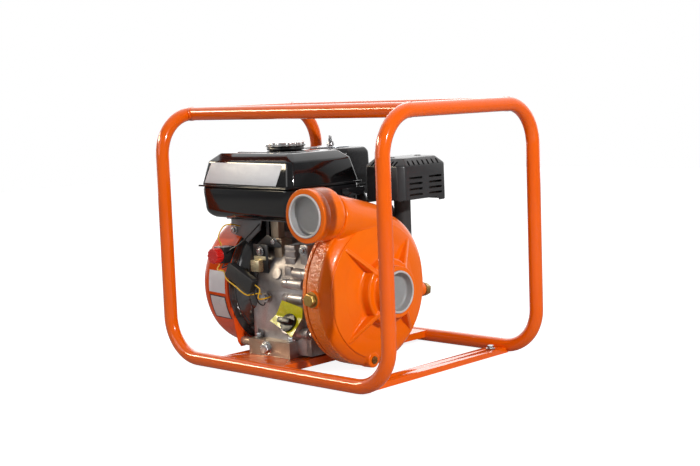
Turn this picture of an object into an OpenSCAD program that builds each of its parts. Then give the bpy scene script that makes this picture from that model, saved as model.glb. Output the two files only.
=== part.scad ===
// Portable fire pump: a petrol engine drives a high-pressure centrifugal pump in a tubular roll frame.
// Origin: middle of the frame on the ground. +X runs along the crankshaft to the pump, +Z is up.

/* [Roll frame] */
// Outside diameter of the frame tube
tube_d = 22; // [18:1:26]
// Wall of the frame tube
tube_wall = 2; // [1.5:0.5:3]
// Spacing of the upright posts along the crankshaft
frame_l = 484; // [474:2:540]
// Spacing of the upright posts across the crankshaft
frame_w = 361; // [356:1:400]
// Height from the bottom tube's axis to the top tube's axis
frame_h = 398; // [390:2:440]
// Centreline radius of the tube bends
bend_r = 65; // [50:1:80]
// Distance of the two top tubes from the planes of the posts
top_tube_inset = 63; // [50:1:90]
// Height of the butt weld in each post
post_joint_z = 215; // [150:5:280]

/* [Base] */
// Height of the engine plate's top above the ground
base_top = 20; // [19:0.5:22]
// Length of the engine plate along the crankshaft
base_l = 140; // [130:2:160]
// Sheet of the engine plate and of the end cross bar
base_sheet = 3; // [2:0.5:4]
// Depth of the engine plate's down-turned edges
base_edge = 12; // [8:1:14]
// Distance of the end cross bar's middle from the frame's middle
cross_bar_x = 172; // [165:1:178]
// Width of the end cross bar
cross_bar_w = 30; // [24:1:36]
// Height of the end cross bar
cross_bar_h = 9; // [7:1:12]

/* [Crankcase] */
// Distance of the crankshaft from the frame's middle plane, towards the tank side
crank_y = -34; // [-36:1:-30]
// Height of the crankshaft above the engine plate
crank_h = 106; // [105:1:112]
// Place of the engine's pump flange along the frame
flange_x = 44; // [38:1:48]
// Depth of the crankcase cover on the pump side
cover_t = 36; // [34:1:40]
// Length of the crankcase block
block_l = 120; // [118:1:124]
// Outside radius of the crankcase round the crankshaft
case_r = 78; // [76:1:82]
// Wall of the crankcase
case_wall = 9; // [7:0.5:10]
// Length of the mounting feet
foot_l = 94; // [90:1:100]
// Distance from the crankshaft to the outer face of each foot
foot_reach = 97; // [95:1:102]
// Height of the feet
foot_h = 25; // [20:1:28]
// Spacing of the mounting bolts along the crankshaft
foot_bolt_l = 75.5; // [70:0.5:78]
// Spacing of the mounting bolts across the crankshaft
foot_bolt_w = 162; // [156:1:170]

/* [Cylinder] */
// Slope of the cylinder above the horizontal
cyl_slope = 25; // [20:1:30]
// Bore of the cylinder
bore_d = 68; // [64:1:70]
// Stroke of the piston
stroke = 45; // [42:1:48]
// Length of the connecting rod between its eyes
rod_l = 84; // [80:1:88]
// Height of the piston
piston_h = 44; // [40:1:48]
// Diameter of the gudgeon pin
wrist_d = 18; // [16:1:20]
// Diameter of the crank pin
crank_pin_d = 30; // [26:1:32]
// Height of the cylinder head along the cylinder
head_h = 42; // [38:1:48]
// Depth of the rocker cover along the cylinder
rocker_h = 24; // [18:1:30]
// Width of the head and fins along the crankshaft
head_w = 120; // [110:2:124]

/* [Crankshaft] */
// Diameter of the main journals
journal_d = 25; // [22:1:28]
// Outside diameter of the main bearings
bearing_d = 52; // [48:1:56]
// Width of the main bearings
bearing_w = 15; // [13:1:16]
// Radius of the crank webs
web_r = 37; // [34:1:38]
// Thickness of each crank web
web_t = 14; // [12:1:15]
// Diameter of the shaft in the pump and in the flywheel
pto_d = 20; // [18:1:22]
// Module of the timing gears
gear_m = 1.6; // [1.5:0.05:1.7]
// Teeth of the crank gear; the cam gear has twice as many
crank_teeth = 20; // [18:2:20]

/* [Flywheel and starter] */
// Radius of the flywheel
flywheel_r = 84; // [78:1:86]
// Radius of the orange fan shroud
shroud_r = 110; // [108:1:114]
// Depth of the fan shroud along the crankshaft
shroud_l = 74; // [70:1:78]
// Depth of the dark duct between the shroud and the crankcase
duct_l = 24; // [22:1:28]
// Radius of the dark duct
duct_r = 100; // [97:1:102]
// Sheet of the shroud and the duct
shroud_sheet = 2; // [1.5:0.5:3]
// Radius of the recoil starter's housing
recoil_r = 82; // [76:1:84]
// Depth of the recoil starter's housing
recoil_l = 14; // [13:0.5:15]
// Radius of the recoil reel where the rope winds
reel_r = 45; // [40:1:48]
// Diameter of the starter rope
rope_d = 4; // [3:0.5:5]
// Length of the starter grip
grip_l = 66; // [60:2:70]
// Diameter of the starter grip
grip_d = 22; // [20:1:26]

/* [Fuel tank] */
// Length of the tank along the crankshaft
tank_l = 220; // [214:2:224]
// Width of the tank
tank_w = 165; // [158:1:170]
// Height of the tank's lower shell
tank_low_h = 54; // [48:1:56]
// Height of the tank's upper shell
tank_up_h = 52; // [46:1:58]
// Height of the tank's bottom above the crankshaft
tank_rise = 112; // [111:1:116]
// Sheet of the tank shells
tank_sheet = 1.5; // [1:0.25:2]
// Width of the seam flange round the tank
seam_w = 5; // [3:0.5:6]
// Diameter of the fuel cap
cap_d = 66; // [60:1:70]
// Height of the fuel cap's knurled rim
cap_h = 12; // [10:1:15]
// Diameter of the filler neck
neck_d = 48; // [44:1:52]

/* [Air cleaner and exhaust] */
// Length of the air cleaner
air_l = 130; // [124:2:136]
// Width of the air cleaner
air_w = 84; // [78:1:88]
// Height of the air cleaner's cover
air_h = 64; // [58:1:66]
// Length of the muffler guard across the crankshaft
guard_w = 117; // [110:1:120]
// Depth of the muffler guard along the crankshaft
guard_l = 85; // [82:1:88]
// Height of the muffler guard
guard_h = 73; // [68:1:78]
// Sheet of the muffler guard
guard_sheet = 1.5; // [1:0.25:2]
// Outside diameter of the exhaust pipe
exhaust_d = 28; // [24:1:30]

/* [Pump] */
// Radius of the pump casing's rim
casing_r = 121; // [119:0.5:122]
// Thickness of the bracket plate behind the casing
bracket_t = 9; // [8:0.5:11]
// Depth of the casing's cylindrical rim
rim_l = 29; // [27:1:32]
// Depth of the rounded shoulder in front of the rim
shoulder_l = 10; // [8:1:12]
// Radius where the shoulder meets the conical face
face_r = 108; // [104:1:110]
// Radius of the suction hub's first step
hub_r = 51; // [48:1:54]
// Place of the suction face in front of the flange
suction_l = 92; // [88:1:96]
// Radius of the impeller chamber
chamber_r = 98; // [96:1:99]
// Radius of the impeller
impeller_r = 88; // [82:1:92]
// Pitch radius of the casing bolts
casing_bolt_r = 110; // [108:0.5:111]

/* [Water ports] */
// Radius of the ports inside their pipe thread
port_r = 28.4; // [27:0.1:29.5]
// Length of the threaded wall of each port
port_l = 30; // [24:1:34]
// Radius of the port's counterbore that takes the dust plug
plug_seat_r = 33.6; // [32:0.2:35]
// Depth of the counterbore
plug_seat_l = 12; // [10:1:14]
// Outside radius of the discharge boss and the suction boss
boss_r = 41; // [40:0.5:43]
// Place of the discharge face in front of the crankshaft, across the frame
discharge_reach = 132; // [128:1:136]
// Height of the discharge port above the crankshaft
discharge_rise = 128; // [126:1:131]
// Place of the discharge port in front of the flange
discharge_l = 26; // [24:1:28]

/* [Small parts] */
// Diameter of the stop switch knob
knob_d = 25; // [20:1:28]
// Length of the low-oil cut-out in its sleeve
oil_unit_l = 62; // [50:1:70]
// Diameter of the wires
wire_d = 2.2; // [1.6:0.2:3]
// Diameter of the engine's M8 bolts
bolt_d = 8; // [6:1:8]
// Diameter of the oil filler plug
dip_d = 30; // [26:1:32]

/* [Clearances] */
// Radial clearance of a shaft that turns in a bore
run_gap = 0.04; // [0.02:0.01:0.08]
// Clearance between pieces that are fixed to each other
fit_gap = 0.1; // [0.05:0.05:0.2]
// Clearance round a piece that moves
move_gap = 0.4; // [0.3:0.1:0.8]

/* [Hidden] */
$fn = 64;

// Frame
tube_r = tube_d / 2;
frame_top = frame_h + tube_d;
half_l = frame_l / 2;
half_w = frame_w / 2;
top_axis_z = tube_r + frame_h;

// Crankshaft axis and the stations along it
crank_z = base_top + crank_h;
block_x1 = flange_x - cover_t;
block_x0 = block_x1 - block_l;
cyl_x = block_x1 - 56;
foot_x = block_x1 - 67;
base_x = foot_x + 4;
duct_x0 = block_x0 - duct_l;
shroud_x0 = duct_x0 - shroud_l;
shroud_x1 = duct_x0;
recoil_x0 = shroud_x0 - recoil_l;
crank_r = stroke / 2;
rod_top = crank_r + rod_l;
deck = rod_top + piston_h / 2 + 2;
rod_w = 20;
web_gap = rod_w + 2 * move_gap + 1;
rear_bearing_x = block_x0 + 4;
front_bearing_x = block_x1 + 6;
sump_floor = base_top + case_wall + 3;
bolt_r = bolt_d / 2;
bolt_hole_r = bolt_r + fit_gap;

// Timing gears
cam_teeth = 2 * crank_teeth;
crank_pitch_r = gear_m * crank_teeth / 2;
cam_pitch_r = gear_m * cam_teeth / 2;
cam_angle = 250;
cam_dist = crank_pitch_r + cam_pitch_r;
cam_y = crank_y + cam_dist * cos(cam_angle);
cam_z = crank_z + cam_dist * sin(cam_angle);
gear_w = 10;
gear_x0 = cyl_x + web_gap / 2 + web_t + 2;
cam_r = 7;

// Fuel tank
tank_x1 = flange_x - 29;
tank_x0 = tank_x1 - tank_l;
tank_y0 = crank_y - 106;
tank_y1 = tank_y0 + tank_w;
tank_x = (tank_x0 + tank_x1) / 2;
tank_y = (tank_y0 + tank_y1) / 2;
tank_z0 = crank_z + tank_rise;
seam_z = tank_z0 + tank_low_h;
tank_z1 = seam_z + tank_up_h;
tank_corner = tank_w / 7.5;
tank_crown = 2.4 * tank_corner;
dish_draft = tank_low_h / 6.75;
dish_h = tank_low_h * 0.26;
neck_x = tank_x + 17;
neck_h = 9;

// Air cleaner and carburettor
port_d_up = deck + head_h / 2;
intake_y = crank_y + port_d_up * cos(cyl_slope);
intake_z = crank_z + port_d_up * sin(cyl_slope);
head_x0 = cyl_x - head_w / 2;
head_x1 = cyl_x + head_w / 2;
carb_l = 40;
carb_x0 = head_x0 - carb_l - 8;
air_x0 = carb_x0 - 23;
air_x = air_x0 + air_l / 2;
air_y = intake_y - 18;
air_z0 = tank_z0 + 24;
air_base_t = 16;
lid_edge = air_h / 9;
air_corner = air_w / 6;
lid_disc_r = air_w * 0.39;
air_z1 = air_z0 + air_base_t + air_h;
stud_r = 3;

// Exhaust
guard_x0 = flange_x - 36;
guard_x1 = guard_x0 + guard_l;
guard_y0 = crank_y + 65;
guard_y1 = guard_y0 + guard_w;
guard_z0 = crank_z + 128;
guard_z1 = guard_z0 + guard_h;
muffler_gap = guard_l / 10.6;
exhaust_r = exhaust_d / 2;

// Pump stations along the crankshaft
rim_x0 = flange_x + bracket_t + 0.8;
rim_x1 = rim_x0 + rim_l;
face_x = rim_x1 + shoulder_l;
hub_x = face_x + 10;
suction_x = flange_x + suction_l;
step_x = suction_x - 15;
chamber_x1 = rim_x1;
seal_x = flange_x + bracket_t;
impeller_x = seal_x + 9;
discharge_x = flange_x + discharge_l;
discharge_z = crank_z + discharge_rise;
discharge_y = crank_y - discharge_reach;
cover_bolt_r = 46;
casing_bolts = 8;
plug_r = plug_seat_r - fit_gap;

// Starter rope
drum_r = reel_r - 6;
rope_z = crank_z + drum_r + rope_d / 2 + 0.3;
reel_x = shroud_x0 - 1;
grip_y = crank_y + shroud_r + 6;
rope_x = reel_x - 5.3;

// Cylinder along X from x0 to x1 about the current axis
module rod_x(x0, x1, r) {
    translate([x0, 0, 0]) rotate([0, 90, 0]) cylinder(h = x1 - x0, r = r);
}

// Cone along X
module cone_x(x0, x1, r0, r1) {
    translate([x0, 0, 0]) rotate([0, 90, 0]) cylinder(h = x1 - x0, r1 = r0, r2 = r1);
}

// Cylinder along Y from y0 to y1
module rod_y(y0, y1, r) {
    translate([0, y1, 0]) rotate([90, 0, 0]) cylinder(h = y1 - y0, r = r);
}

// Outline in the plane across the crankshaft, drawn out from x0 to x1
module across(x0, x1) {
    translate([x0, 0, 0]) rotate([90, 0, 90]) linear_extrude(x1 - x0) children();
}

// Places children on the crankshaft's axis
module on_crank() {
    translate([0, crank_y, crank_z]) children();
}

// Places children on the cylinder: z runs from the crankshaft towards the head
module on_cylinder() {
    translate([cyl_x, crank_y, crank_z]) rotate([cyl_slope - 90, 0, 0]) children();
}

// Box with its low corner at a and its high corner at b
module box(a, b) {
    translate(a) cube(b - a);
}

// Flat rectangle with rounded corners, centred
module round_rect(l, w, r) {
    square([l - 2 * r, w], center = true);
    square([l, w - 2 * r], center = true);
    for (sx = [-1, 1], sy = [-1, 1]) translate([sx * (l / 2 - r), sy * (w / 2 - r)]) circle(r, $fn = 32);
}

// Smooth block between two rounded rectangles at two heights
module loft(z0, l0, w0, z1, l1, w1, r, skin = 0.01) {
    hull() {
        translate([0, 0, z0]) linear_extrude(skin) round_rect(l0, w0, r);
        translate([0, 0, z1 - skin]) linear_extrude(skin) round_rect(l1, w1, r);
    }
}

// Hexagon bolt: head on the current plane, shank downwards
module bolt(shank_l, r = bolt_r) {
    cylinder(h = r * 1.3, r = r * 1.85, $fn = 6);
    translate([0, 0, -shank_l]) cylinder(h = shank_l + 0.01, r = r);
}

// Ring outline of the frame tube
module tube_ring() {
    difference() {
        circle(tube_r);
        circle(tube_r - tube_wall);
    }
}

// Quarter bend of the frame tube about the current origin, from angle a
module tube_bend(a) {
    rotate([90, 0, 0]) rotate([0, 0, a]) rotate_extrude(angle = 90) translate([bend_r, 0]) tube_ring();
}

// Straight frame tube along +Z
module tube_straight(length) {
    linear_extrude(length) tube_ring();
}

// U of frame tube in the XZ plane, standing on the ground, with legs up to leg_top
module tube_u(span, leg_top) {
    arm = span / 2 - bend_r;
    rise = tube_r + bend_r;
    translate([-arm, 0, tube_r]) rotate([0, 90, 0]) tube_straight(2 * arm);
    translate([arm, 0, rise]) tube_bend(-90);
    translate([-arm, 0, rise]) tube_bend(180);
    for (side = [-1, 1]) translate([side * span / 2, 0, rise]) tube_straight(leg_top - rise);
}

// Points of a ring of n corners about p, square to direction d
function ring_points(p, d, r, n) =
    let (
        w = d / norm(d),
        u0 = abs(w[2]) < 0.9 ? cross(w, [0, 0, 1]) : cross(w, [1, 0, 0]),
        u = u0 / norm(u0),
        v = cross(w, u)
    )
    [for (i = [0 : n - 1]) p + r * (cos(360 * i / n) * u + sin(360 * i / n) * v)];

// Point on a smooth curve through four neighbours, t from 0 to 1
function curve_point(a, b, c, d, t) =
    0.5 * (2 * b + (c - a) * t + (2 * a - 5 * b + 4 * c - d) * t * t + (3 * b - 3 * c + d - a) * t * t * t);

// Smooth curve through a list of points with k steps between neighbours
function smooth_path(p, k) =
    let (n = len(p))
    [
        for (i = [0 : n - 2], j = [0 : k - 1])
            curve_point(p[max(i - 1, 0)], p[i], p[i + 1], p[min(i + 2, n - 1)], j / k),
        p[n - 1]
    ];

// Round wire or hose along a list of points
module wire(points, r, k = 4, n = 8) {
    path = smooth_path(points, k);
    m = len(path);
    rings = [
        for (i = [0 : m - 1])
            each ring_points(path[i], path[min(i + 1, m - 1)] - path[max(i - 1, 0)], r, n)
    ];
    sides = [
        for (i = [0 : m - 2], j = [0 : n - 1])
            [i * n + j, (i + 1) * n + j, (i + 1) * n + (j + 1) % n, i * n + (j + 1) % n]
    ];
    ends = [[for (j = [0 : n - 1]) j], [for (j = [n - 1 : -1 : 0]) (m - 1) * n + j]];
    polyhedron(rings, concat(sides, ends));
}

// Gear outline with slim teeth; the first tooth points along angle a
module gear_outline(teeth, pitch_r, a) {
    root_r = pitch_r - 1.15 * gear_m;
    tip_r = pitch_r + 0.75 * gear_m;
    half = 0.34 * PI * gear_m / 2;
    circle(root_r);
    for (i = [0 : teeth - 1])
        rotate(a + 360 * i / teeth)
            polygon([[root_r - 0.4, -1.7 * half], [pitch_r, -half], [tip_r, -0.45 * half],
                     [tip_r, 0.45 * half], [pitch_r, half], [root_r - 0.4, 1.7 * half]]);
}

// FRAME

// Bent tube: front posts and front bottom run
module front_u_tube() {
    color("darkorange") translate([0, -half_w, 0]) tube_u(frame_l, post_joint_z);
}

// Bent tube: rear posts and rear bottom run
module rear_u_tube() {
    color("darkorange") translate([0, half_w, 0]) tube_u(frame_l, post_joint_z);
}

// Bent tube over one end of the frame, from the front post to the rear post
module arch(side) {
    translate([side * half_l, 0, frame_top]) mirror([0, 0, 1]) rotate([0, 0, 90])
        tube_u(frame_w, frame_top - post_joint_z);
}

module left_arch() {
    color("darkorange") arch(-1);
}

module right_arch() {
    color("darkorange") arch(1);
}

// Straight tube between the two arches, saddle-cut and welded at both ends
module top_tube(side) {
    translate([0, side * (half_w - top_tube_inset), top_axis_z]) difference() {
        translate([-half_l, 0, 0]) rotate([0, 90, 0]) tube_straight(frame_l);
        for (end = [-1, 1]) translate([end * half_l, 0, 0]) {
            rod_y(-frame_w, frame_w, tube_r + fit_gap);
            translate([0, side * (top_tube_inset - bend_r), -bend_r]) rotate([0, 90, 0])
                rotate_extrude() translate([bend_r, 0]) circle(tube_r + fit_gap);
        }
    }
}

module front_top_tube() {
    color("darkorange") top_tube(-1);
}

module rear_top_tube() {
    color("darkorange") top_tube(1);
}

// Cuts a sheet back from the two bottom tubes
module clear_of_bottom_tubes() {
    difference() {
        children();
        for (side = [-1, 1]) translate([0, side * half_w, tube_r]) rod_x(-half_l, half_l, tube_r + fit_gap);
    }
}

// Pressed plate between the bottom tubes that carries the engine
module base_plate() {
    color("darkorange") clear_of_bottom_tubes() difference() {
        box([base_x - base_l / 2, -half_w, base_top - base_edge], [base_x + base_l / 2, half_w, base_top]);
        box([base_x - base_l / 2 + base_sheet, -half_w - 1, base_top - base_edge - 1],
            [base_x + base_l / 2 - base_sheet, half_w + 1, base_top - base_sheet]);
        foot_bolt_places() translate([0, 0, -foot_h - base_sheet - 1])
            cylinder(h = foot_h + 2, r = bolt_hole_r);
    }
}

// Pressed bar between the bottom tubes at the pump end
module end_cross_bar() {
    color("darkorange") clear_of_bottom_tubes() difference() {
        box([cross_bar_x - cross_bar_w / 2, -half_w, 0],
            [cross_bar_x + cross_bar_w / 2, half_w, cross_bar_h]);
        box([cross_bar_x - cross_bar_w / 2 + base_sheet, -half_w - 1, -1],
            [cross_bar_x + cross_bar_w / 2 - base_sheet, half_w + 1, cross_bar_h - base_sheet]);
        bar_bolt_places() translate([0, 0, -cross_bar_h]) cylinder(h = 2 * cross_bar_h, r = 3 + fit_gap);
    }
}

// Places on top of the cross bar for its two small bolts
module bar_bolt_places() {
    for (side = [-1, 1]) translate([cross_bar_x, side * (half_w - 32), cross_bar_h]) children();
}

// CRANKCASE

// Places on top of the feet for the four mounting bolts
module foot_bolt_places() {
    for (sx = [-1, 1], sy = [-1, 1])
        translate([foot_x + sx * foot_bolt_l / 2, crank_y + sy * foot_bolt_w / 2, base_top + foot_h])
            children();
}

// Outline of the crankcase across the crankshaft, at a distance inside the outer wall
module case_outline(inset) {
    translate([crank_y, crank_z]) circle(case_r - inset);
    translate([crank_y - case_r + inset, base_top + 4 + inset])
        square([2 * (case_r - inset), crank_z - base_top - 4 - inset]);
}

// Places round the crankcase joint for the cover bolts; x is the cover's front
module cover_bolt_places(x) {
    for (a = [20, 90, 160]) on_crank() rotate([a, 0, 0]) translate([x, case_r + 3, 0]) children();
    for (side = [-1, 1])
        translate([x, crank_y + side * (case_r + 3), base_top + foot_h + 16]) children();
}

// Bolt bosses round the crankcase joint, from x0 to x1
module cover_bosses(x0, x1) {
    cover_bolt_places(0) rod_x(x0, x1, 9);
}

// Place and direction of the oil filler; z runs outwards
module on_oil_filler() {
    translate([block_x1 - 22, crank_y - case_r + 4, base_top + 46]) rotate([60, 0, 0]) children();
}
filler_l = 22;

// Place of the drain bolt on the front foot; z runs outwards
module on_drain() {
    translate([foot_x - 5, crank_y - foot_reach, base_top + foot_h * 0.5]) rotate([90, 0, 0]) children();
}

// Place of the earth bolt on the crankcase side; z runs outwards
module on_earth_bolt() {
    translate([block_x0 + 36, crank_y - case_r, crank_z - 14]) rotate([90, 0, 0]) children();
}

// Places on the crankcase top for the tank bracket's two pillars
module pillar_places() {
    for (x = [cyl_x - 40, cyl_x + 26]) translate([x, crank_y - 20, 0]) children();
}
pillar_z = crank_z + case_r + 8;

// Cast block: crankcase, feet, finned cylinder, rear bearing seat
module engine_block() {
    color("dimgray") difference() {
        union() {
            across(block_x0, block_x1) case_outline(0);
            for (side = [-1, 1])
                translate([foot_x - foot_l / 2, crank_y + side * (foot_reach - 16) - 16, base_top])
                    cube([foot_l, 32, foot_h]);
            box([foot_x - foot_l / 2, crank_y - foot_reach + 1, base_top],
                [foot_x + foot_l / 2, crank_y + foot_reach - 1, base_top + 12]);
            on_cylinder() cylinder(h = deck, r = bore_d / 2 + 9);
            on_cylinder() cylinder_fins(case_r + 4, deck - 3);
            on_cylinder() translate([0, 0, deck - 8]) linear_extrude(8)
                square([head_w - 16, 100], center = true);
            cover_bosses(block_x1 - 22, block_x1 - 0.2);
            on_oil_filler() translate([0, 0, -16]) cylinder(h = filler_l + 16, r = dip_d / 2 + 3);
            on_earth_bolt() translate([0, 0, -10]) cylinder(h = 14, r = 9);
            pillar_places() translate([0, 0, crank_z]) cylinder(h = pillar_z - crank_z, r = 10);
        }
        across(block_x0 + 2 * case_wall, block_x1 + 1) intersection() {
            case_outline(case_wall);
            translate([crank_y - case_r, sump_floor]) square([2 * case_r, 2 * case_r]);
        }
        on_cylinder() cylinder(h = deck + 1, r = bore_d / 2);
        on_crank() rod_x(block_x0 - 1, block_x1, journal_d / 2 + 2);
        on_crank() rod_x(rear_bearing_x, block_x0 + 2 * case_wall + 1, bearing_d / 2 + fit_gap);
        on_crank() rod_x(block_x0 - 1, block_x0 + 3.9, journal_d / 2 + 8);
        translate([0, cam_y, cam_z]) rod_x(block_x0 + 8, block_x1, cam_r + run_gap);
        foot_bolt_places() translate([0, 0, -foot_h - 1]) cylinder(h = foot_h + 2, r = bolt_hole_r);
        foot_bolt_places() cylinder(h = 12, r = bolt_r * 1.85 + 1.5);
        cover_bosses_holes(block_x1 - 16, block_x1 + 1);
        on_oil_filler() translate([0, 0, -40]) cylinder(h = filler_l + 41, r = dip_d / 2 - 4);
        on_drain() translate([0, 0, -14]) cylinder(h = 15, r = 5 + fit_gap);
        on_earth_bolt() translate([0, 0, -9]) cylinder(h = 14, r = 3 + fit_gap);
        pillar_places() translate([0, 0, pillar_z - 12]) cylinder(h = 13, r = 3 + fit_gap);
        duct_bolt_places() rod_x(block_x0 - 1, block_x0 + 12, 3 + fit_gap);
    }
}

// Holes for the cover bolts
module cover_bosses_holes(x0, x1) {
    cover_bolt_places(0) rod_x(x0, x1, 3 + fit_gap);
}

// Cooling fins of the cylinder between two heights
module cylinder_fins(z0, z1) {
    pitch = 8;
    for (z = [z0 : pitch : z1 - 2]) translate([0, 0, z]) linear_extrude(3)
        square([head_w - 8, 104], center = true);
}

// Cast cover on the pump side with the front bearing and the pump flange
module crankcase_cover() {
    color("darkgray") difference() {
        union() {
            across(block_x1 + fit_gap, block_x1 + 10) case_outline(0);
            cover_bosses(block_x1 + fit_gap + 0.2, block_x1 + 12);
            on_crank() cone_x(block_x1 + 9, flange_x, 62, 50);
            for (sy = [-1, 1], sz = [-1, 1]) on_crank()
                translate([0, sy * cover_bolt_r, sz * cover_bolt_r]) rod_x(block_x1 + 9, flange_x, 11);
        }
        on_crank() rod_x(block_x1 - 1, flange_x + 1, journal_d / 2 + 2);
        on_crank() rod_x(block_x1 - 1, front_bearing_x + bearing_w, bearing_d / 2 + fit_gap);
        on_crank() rod_x(flange_x - 10, flange_x + 1, journal_d / 2 + 8);
        translate([0, cam_y, cam_z]) rod_x(block_x1 - 1, block_x1 + 6, cam_r + run_gap);
        for (sy = [-1, 1], sz = [-1, 1]) on_crank()
            translate([0, sy * cover_bolt_r, sz * cover_bolt_r])
                rod_x(flange_x - 18, flange_x + 1, bolt_hole_r);
        cover_bosses_holes(block_x1 - 1, block_x1 + 13);
    }
}

// Cast head with cooling fins, ports and the plug's seat
module cylinder_head() {
    color("silver") difference() {
        union() {
            on_cylinder() translate([0, 0, deck + fit_gap])
                linear_extrude(head_h - fit_gap) square([head_w - 30, 84], center = true);
            on_cylinder() for (i = [0 : 4]) translate([0, 0, deck + fit_gap + i * (head_h - 3.2) / 4])
                linear_extrude(3) square([head_w - 2, 100], center = true);
            translate([0, intake_y, intake_z]) rod_x(head_x0, head_x1, head_h / 2 - 1);
            on_plug() translate([0, 0, -12]) cylinder(h = 12, r = 14);
        }
        on_cylinder() cylinder(h = deck + 8, r = bore_d / 2 - 4);
        translate([0, intake_y, intake_z]) rod_x(head_x0 - 1, head_x0 + 30, 11);
        translate([0, intake_y, intake_z]) rod_x(head_x1 - 30, head_x1 + 1, 12);
        on_plug() translate([0, 0, -24]) cylinder(h = 25, r = 7 + fit_gap);
    }
}

// Place of the spark plug on the head; z runs out of its hole
module on_plug() {
    on_cylinder() translate([16, 0, deck + 20]) rotate([90, 0, 0]) translate([0, 0, 50]) children();
}

// Pressed cover over the rockers at the end of the head
module rocker_cover() {
    color("dimgray") on_cylinder() translate([0, 0, deck + head_h + fit_gap]) difference() {
        loft(0, head_w - 34, 76, rocker_h, head_w - 46, 64, 10);
        loft(-1, head_w - 38, 72, rocker_h - 2, head_w - 50, 60, 9);
    }
}

// Two ball bearings of the crankshaft
module crank_bearings() {
    color("silver") on_crank() for (x = [rear_bearing_x, front_bearing_x]) difference() {
        rod_x(x, x + bearing_w, bearing_d / 2);
        rod_x(x - 1, x + bearing_w + 1, journal_d / 2 + run_gap);
        for (end = [x - 1, x + bearing_w - 1.5]) difference() {
            rod_x(end, end + 2.5, bearing_d / 2 - 4);
            rod_x(end - 1, end + 4, journal_d / 2 + 4);
        }
    }
}

// Two lip seals that keep the oil in
module oil_seals() {
    color("saddlebrown") on_crank() for (x = [block_x0 + 0.4, flange_x - 9]) difference() {
        rod_x(x, x + (x < 0 ? 3.4 : 7), journal_d / 2 + 8 - fit_gap);
        rod_x(x - 1, x + 9, journal_d / 2 + run_gap);
    }
}

// Piston at the top of its stroke, with ring grooves
module piston() {
    color("lightgray") on_cylinder() difference() {
        translate([0, 0, rod_top - piston_h / 2]) cylinder(h = piston_h, r = bore_d / 2 - fit_gap);
        translate([0, 0, rod_top - piston_h / 2 - 1]) cylinder(h = piston_h - 7, r = bore_d / 2 - 6);
        translate([0, 0, rod_top]) rod_x(-bore_d, bore_d, wrist_d / 2 + fit_gap);
        for (z = [6, 10, 14]) translate([0, 0, rod_top + piston_h / 2 - z]) difference() {
            cylinder(h = 2, r = bore_d);
            translate([0, 0, -1]) cylinder(h = 4, r = bore_d / 2 - 3);
        }
    }
}

// Gudgeon pin through the piston
module wrist_pin() {
    color("silver") on_cylinder() translate([0, 0, rod_top]) difference() {
        rod_x(-bore_d / 2 + 3, bore_d / 2 - 3, wrist_d / 2);
        rod_x(-bore_d, bore_d, wrist_d / 2 - 4);
    }
}

// Connecting rod between the crank pin and the gudgeon pin
module connecting_rod() {
    color("gray") on_cylinder() difference() {
        union() {
            translate([0, 0, crank_r]) rod_x(-rod_w / 2, rod_w / 2, crank_pin_d / 2 + 6);
            translate([0, 0, rod_top]) rod_x(-rod_w / 2, rod_w / 2, wrist_d / 2 + 5);
            translate([-6, -8, crank_r]) cube([12, 16, rod_l]);
        }
        translate([0, 0, crank_r]) rod_x(-rod_w, rod_w, crank_pin_d / 2 + run_gap);
        translate([0, 0, rod_top]) rod_x(-rod_w, rod_w, wrist_d / 2 + run_gap);
    }
}

// Crank pin in the rod's big end; it stays with the rod
module crank_pin() {
    color("silver") on_cylinder() translate([0, 0, crank_r])
        rod_x(-rod_w / 2 - 0.3, rod_w / 2 + 0.3, crank_pin_d / 2);
}

// Spark plug with its hexagon and insulator
module spark_plug() {
    color("white") on_plug() {
        translate([0, 0, -19]) cylinder(h = 19, r = 7);
        cylinder(h = 8, r = 11, $fn = 6);
        translate([0, 0, 7.9]) cylinder(h = 20, r = 5);
    }
}

// Plug cap with the ignition lead that goes into the shroud
module plug_lead() {
    color("black") {
        on_plug() difference() {
            translate([0, 0, 10]) cylinder(h = 34, r = 9);
            translate([0, 0, 9]) cylinder(h = 20, r = 5 + fit_gap);
        }
        wire(lead_path, 3.5);
    }
}
// Point on the plug's axis at a distance above its seat
function plug_at(t) = [
    cyl_x + 16,
    crank_y + (deck + 20) * cos(cyl_slope) - (50 + t) * sin(cyl_slope),
    crank_z + (deck + 20) * sin(cyl_slope) + (50 + t) * cos(cyl_slope)
];
lead_path = [
    plug_at(36), plug_at(52), [cyl_x + 10, tank_y1 + 13, tank_z0 + 36],
        [cyl_x - 12, tank_y1 + 11, tank_z0 + 12],
    [duct_x0 + 32, crank_y + 50, crank_z + 106], [duct_x0 + 16, crank_y + 42, crank_z + 98],
    [duct_x0 + 12, crank_y + 40, crank_z + duct_r - 12]
];

// ROTATING PARTS

// Forged crankshaft with its webs and gear, long enough to carry the impeller
module crankshaft() {
    color("silver") on_crank() {
        rod_x(shroud_x0 + 20, rear_bearing_x, pto_d / 2);
        rod_x(rear_bearing_x - 0.01, cyl_x - web_gap / 2, journal_d / 2);
        for (side = [-1, 1]) rod_x(cyl_x + side * (web_gap + web_t) / 2 - web_t / 2,
                                   cyl_x + side * (web_gap + web_t) / 2 + web_t / 2, web_r);
        rod_x(cyl_x + web_gap / 2 + web_t - 0.01, flange_x + 2, journal_d / 2);
        rod_x(flange_x + 1.99, impeller_x + 22, pto_d / 2);
        across(gear_x0, gear_x0 + gear_w) gear_outline(crank_teeth, crank_pitch_r, cam_angle);
    }
}

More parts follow.
